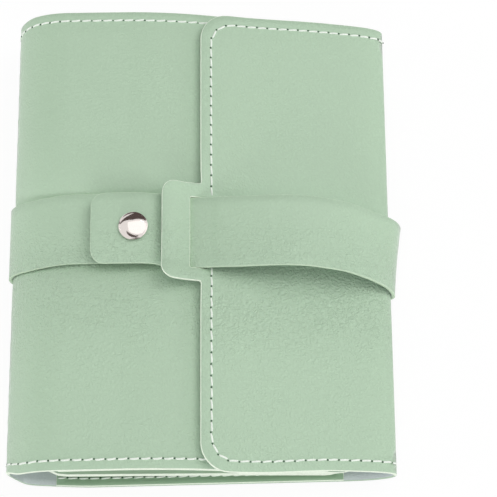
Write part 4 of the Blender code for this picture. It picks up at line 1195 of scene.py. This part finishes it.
# Page leaves
# Two leaves of thin leatherette that share one fold, perforated with rows of paired holes, and with
# a small notch at the fold on each side for the binding rivets. Near the fold they bend with it.
page_pu, tree, where = object_material("page_pu_fine_grain")
pores = noise(tree, where, 1500.0, 3.0, 0.6)
tone = mapped(tree, noise(tree, where, 30.0, 2.0), 0.3, 0.7, 0.96, 1.03)
surface(tree, "#ADC8AA", tone, (pores, 0.3, 0.0001), Roughness=0.58)

LEAF = 1.4
FOLD_X = -58.7
FOLD_Z = 14.75
leaf_run = Vector((49.5 - FOLD_X, 6.5 - FOLD_Z))
LEAF_LINE = Line([tuple(Vector((FOLD_X, FOLD_Z)) + leaf_run * i / 36) for i in range(37)])

HOLE_RADIUS = 0.6 * MM
perforate, given = new_tree("perforate_leaf", (
    ("Hole Radius", HOLE_RADIUS), ("Pair Gap", 9.0 * MM), ("Row Pitch", 24.0 * MM),
    ("Column Pitch", 22.0 * MM), ("First Column", (FOLD_X + 22.0) * MM), ("Rows", 6), ("Columns", 4),
))
column_gaps = reckon(perforate, "SUBTRACT", given["Columns"], 1.0)
row_gaps = reckon(perforate, "SUBTRACT", given["Rows"], 1.0)
wide = reckon(perforate, "MULTIPLY", column_gaps, given["Column Pitch"])
tall = reckon(perforate, "MULTIPLY", row_gaps, given["Row Pitch"])
grid_middle = reckon(perforate, "MULTIPLY_ADD", wide, 0.5, given["First Column"])
grid = node(perforate, "GeometryNodeMeshGrid", Size_X=wide, Size_Y=tall, Vertices_X=given["Columns"],
            Vertices_Y=given["Rows"])
both = node(perforate, "GeometryNodeJoinGeometry")
for gap_share in (0.5, -0.5):
    aside = reckon(perforate, "MULTIPLY", given["Pair Gap"], gap_share)
    moved = node(perforate, "GeometryNodeTransform", Geometry=grid.outputs[0],
                 Translation=vector_of(perforate, X=grid_middle, Y=aside, Z=0.0105))
    perforate.links.new(moved.outputs[0], both.inputs[0])
punch = node(perforate, "GeometryNodeMeshCylinder", Vertices=10, Radius=given["Hole Radius"], Depth=0.03)
punches = node(perforate, "GeometryNodeInstanceOnPoints", Points=both.outputs[0], Instance=punch.outputs[0])
solid_punches = node(perforate, "GeometryNodeRealizeInstances", Geometry=punches.outputs[0])
edged = node(perforate, "GeometryNodeSetMaterial", Geometry=solid_punches.outputs[0], Material=cut_edge)
pierced_leaf = node(perforate, "GeometryNodeMeshBoolean", {"operation": "DIFFERENCE", "solver": "EXACT"},
                    Mesh_1=given["Geometry"])
perforate.links.new(edged.outputs[0], pierced_leaf.inputs["Mesh 2"])
whole = node(perforate, "GeometryNodeRealizeInstances", Geometry=pierced_leaf.outputs[0])
node(perforate, "NodeGroupOutput", Geometry=whole.outputs[0])

NOTCHES = (62.5, -62.5)
NOTCH_RADIUS = 3.5


def leaf_outline():
    """A leaf with rounded outer corners, narrower at its fold, with two rivet notches there."""
    outline = []
    for d, y in rounded_outline(LEAF_LINE, 1.15, LEAF_LINE.at[-1], 79.0, end_corner=FRONT_CORNER):
        narrower = 4.5 * (1 - smooth(d, 2.0, 14.0)) if abs(y) > 70.0 else 0.0
        outline.append((d, y - math.copysign(narrower, y)))
    folded = [p for p in outline if p[0] < 1.2]
    rest = [p for p in outline if p[0] >= 1.2]
    notch = []
    for centre in NOTCHES:
        for i in range(9):
            turn = math.radians(70.0 - 140.0 * i / 8)
            notch.append((NOTCH_RADIUS * math.cos(turn), centre + NOTCH_RADIUS * math.sin(turn)))
    clear = [p for p in folded if all(abs(p[1] - centre) > 4.0 for centre in NOTCHES)]
    fold_side = sorted(clear + notch, key=lambda p: -p[1])
    return rest + fold_side


LEAF_GAP = 0.15
for name, low, bend in (("leaf_front", LEAF_GAP, 17.5), ("leaf_rear", -LEAF_GAP - LEAF, 20.0)):
    flat_leaf = cut_panel(name + "_flat", LEAF_LINE, leaf_outline(), level(low), level(low + LEAF),
                          (page_pu, page_pu, cut_edge), rows=12.0, close_rows=())
    leaf_mesh = run_tree(flat_leaf, perforate, name + "_page", Hole_Radius=HOLE_RADIUS)
    leaf = link(name + "_page", leaf_mesh)
    fold_end = (Vector((FOLD_X, FOLD_Z)) + leaf_run.normalized() * bend) * MM
    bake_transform(leaf, "spine", name, start=(FOLD_X * MM, 0.0, FOLD_Z * MM), end=(fold_end.x, 0.0, fold_end.y))
    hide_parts(name)


# Page fold and binding
# The leaves' shared fold lies along the middle of the spine. A strip of woven cotton tape
# behind it and two small chromed rivets, 125 mm apart, hold it to the spine.
cotton_tape, tree, where = object_material("tape_woven_cotton")
threads = []
for way in ("Y", "Z"):
    wave = node(tree, "ShaderNodeTexWave", {"bands_direction": way}, Vector=where, Scale=500.0,
                Distortion=1.0)
    threads.append(wave.outputs["Fac"])
weave = reckon(tree, "MAXIMUM", *threads)
surface(tree, "#A4B9B6", mapped(tree, weave, 0.0, 1.0, 0.8, 1.05), (weave, 0.5, 0.0001), Roughness=0.9)


def long_bar(name, profile, half, finish):
    """A bar along the spine, with a closed (x, z) profile in anticlockwise order."""
    count = len(profile)
    stops = [-half + 2 * half * i / 40 for i in range(41)]
    points = [Vector((x, y, z)) * MM for y in stops for x, z in profile]
    faces = [tuple(range(count))]
    for k in range(len(stops) - 1):
        a, b = k * count, (k + 1) * count
        faces += [(a + i, b + i, b + (i + 1) % count, a + (i + 1) % count) for i in range(count)]
    faces.append(tuple(len(points) - 1 - i for i in range(count)))
    mesh = bpy.data.meshes.new(name)
    mesh.from_pydata(points, [], faces)
    mesh.shade_smooth()
    mesh.set_sharp_from_angle(angle=math.radians(50))
    return link(name, mesh, finish)


BINDING_HALF = 75.0
page_low, page_high = [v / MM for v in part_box("page_fold")]
nose_turns = [math.radians(a) for a in range(0, 181, 15)]
nose = [(page_high.x - 0.75 + 0.75 * math.sin(t), FOLD_Z + 0.7 * math.cos(t)) for t in nose_turns]
fold_profile = [(page_low.x, FOLD_Z - 0.7), (page_low.x, FOLD_Z + 0.7)] + nose
page_fold = long_bar("page_fold_bead", fold_profile[::-1], BINDING_HALF, page_pu)
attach(page_fold, "spine")
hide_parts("page_fold")

tape_low, tape_high = [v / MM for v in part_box("binding_strip")]
tape_profile = [(tape_low.x, FOLD_Z - 2.4), (tape_low.x, FOLD_Z + 2.4), (tape_high.x - 0.1, FOLD_Z + 2.4),
                (tape_high.x, FOLD_Z + 2.2), (tape_high.x, FOLD_Z - 2.2), (tape_high.x - 0.1, FOLD_Z - 2.4)]
binding = long_bar("binding_tape_strip", tape_profile[::-1], BINDING_HALF, cotton_tape)
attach(binding, "spine")
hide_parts("binding_strip")

for side_name in ("tail_edge", "head_edge"):
    low, high = [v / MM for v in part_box("binding_rivet_" + side_name)]
    length = high.x - low.x
    shank_end = length - 0.88
    profile = [(0.0, 0.0), (1.5, 0.0), (1.6, 0.1), (1.6, 0.25), (0.35, 0.3), (0.35, shank_end)]
    profile.append((2.6, shank_end))
    profile += [(2.8 * math.cos(t), length - 0.6 + 0.6 * math.sin(t)) for t in quarter_turn(8)[:8]]
    profile.append((0.0, length))
    centre = (low.x, (low.y + high.y) / 2, (low.z + high.z) / 2)
    rivet = turn_part("binding_rivet_dome_" + side_name, profile, centre, (1.0, 0.0, 0.0), chrome, sides=32)
    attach(rivet, "spine")
    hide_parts("binding_rivet_" + side_name)
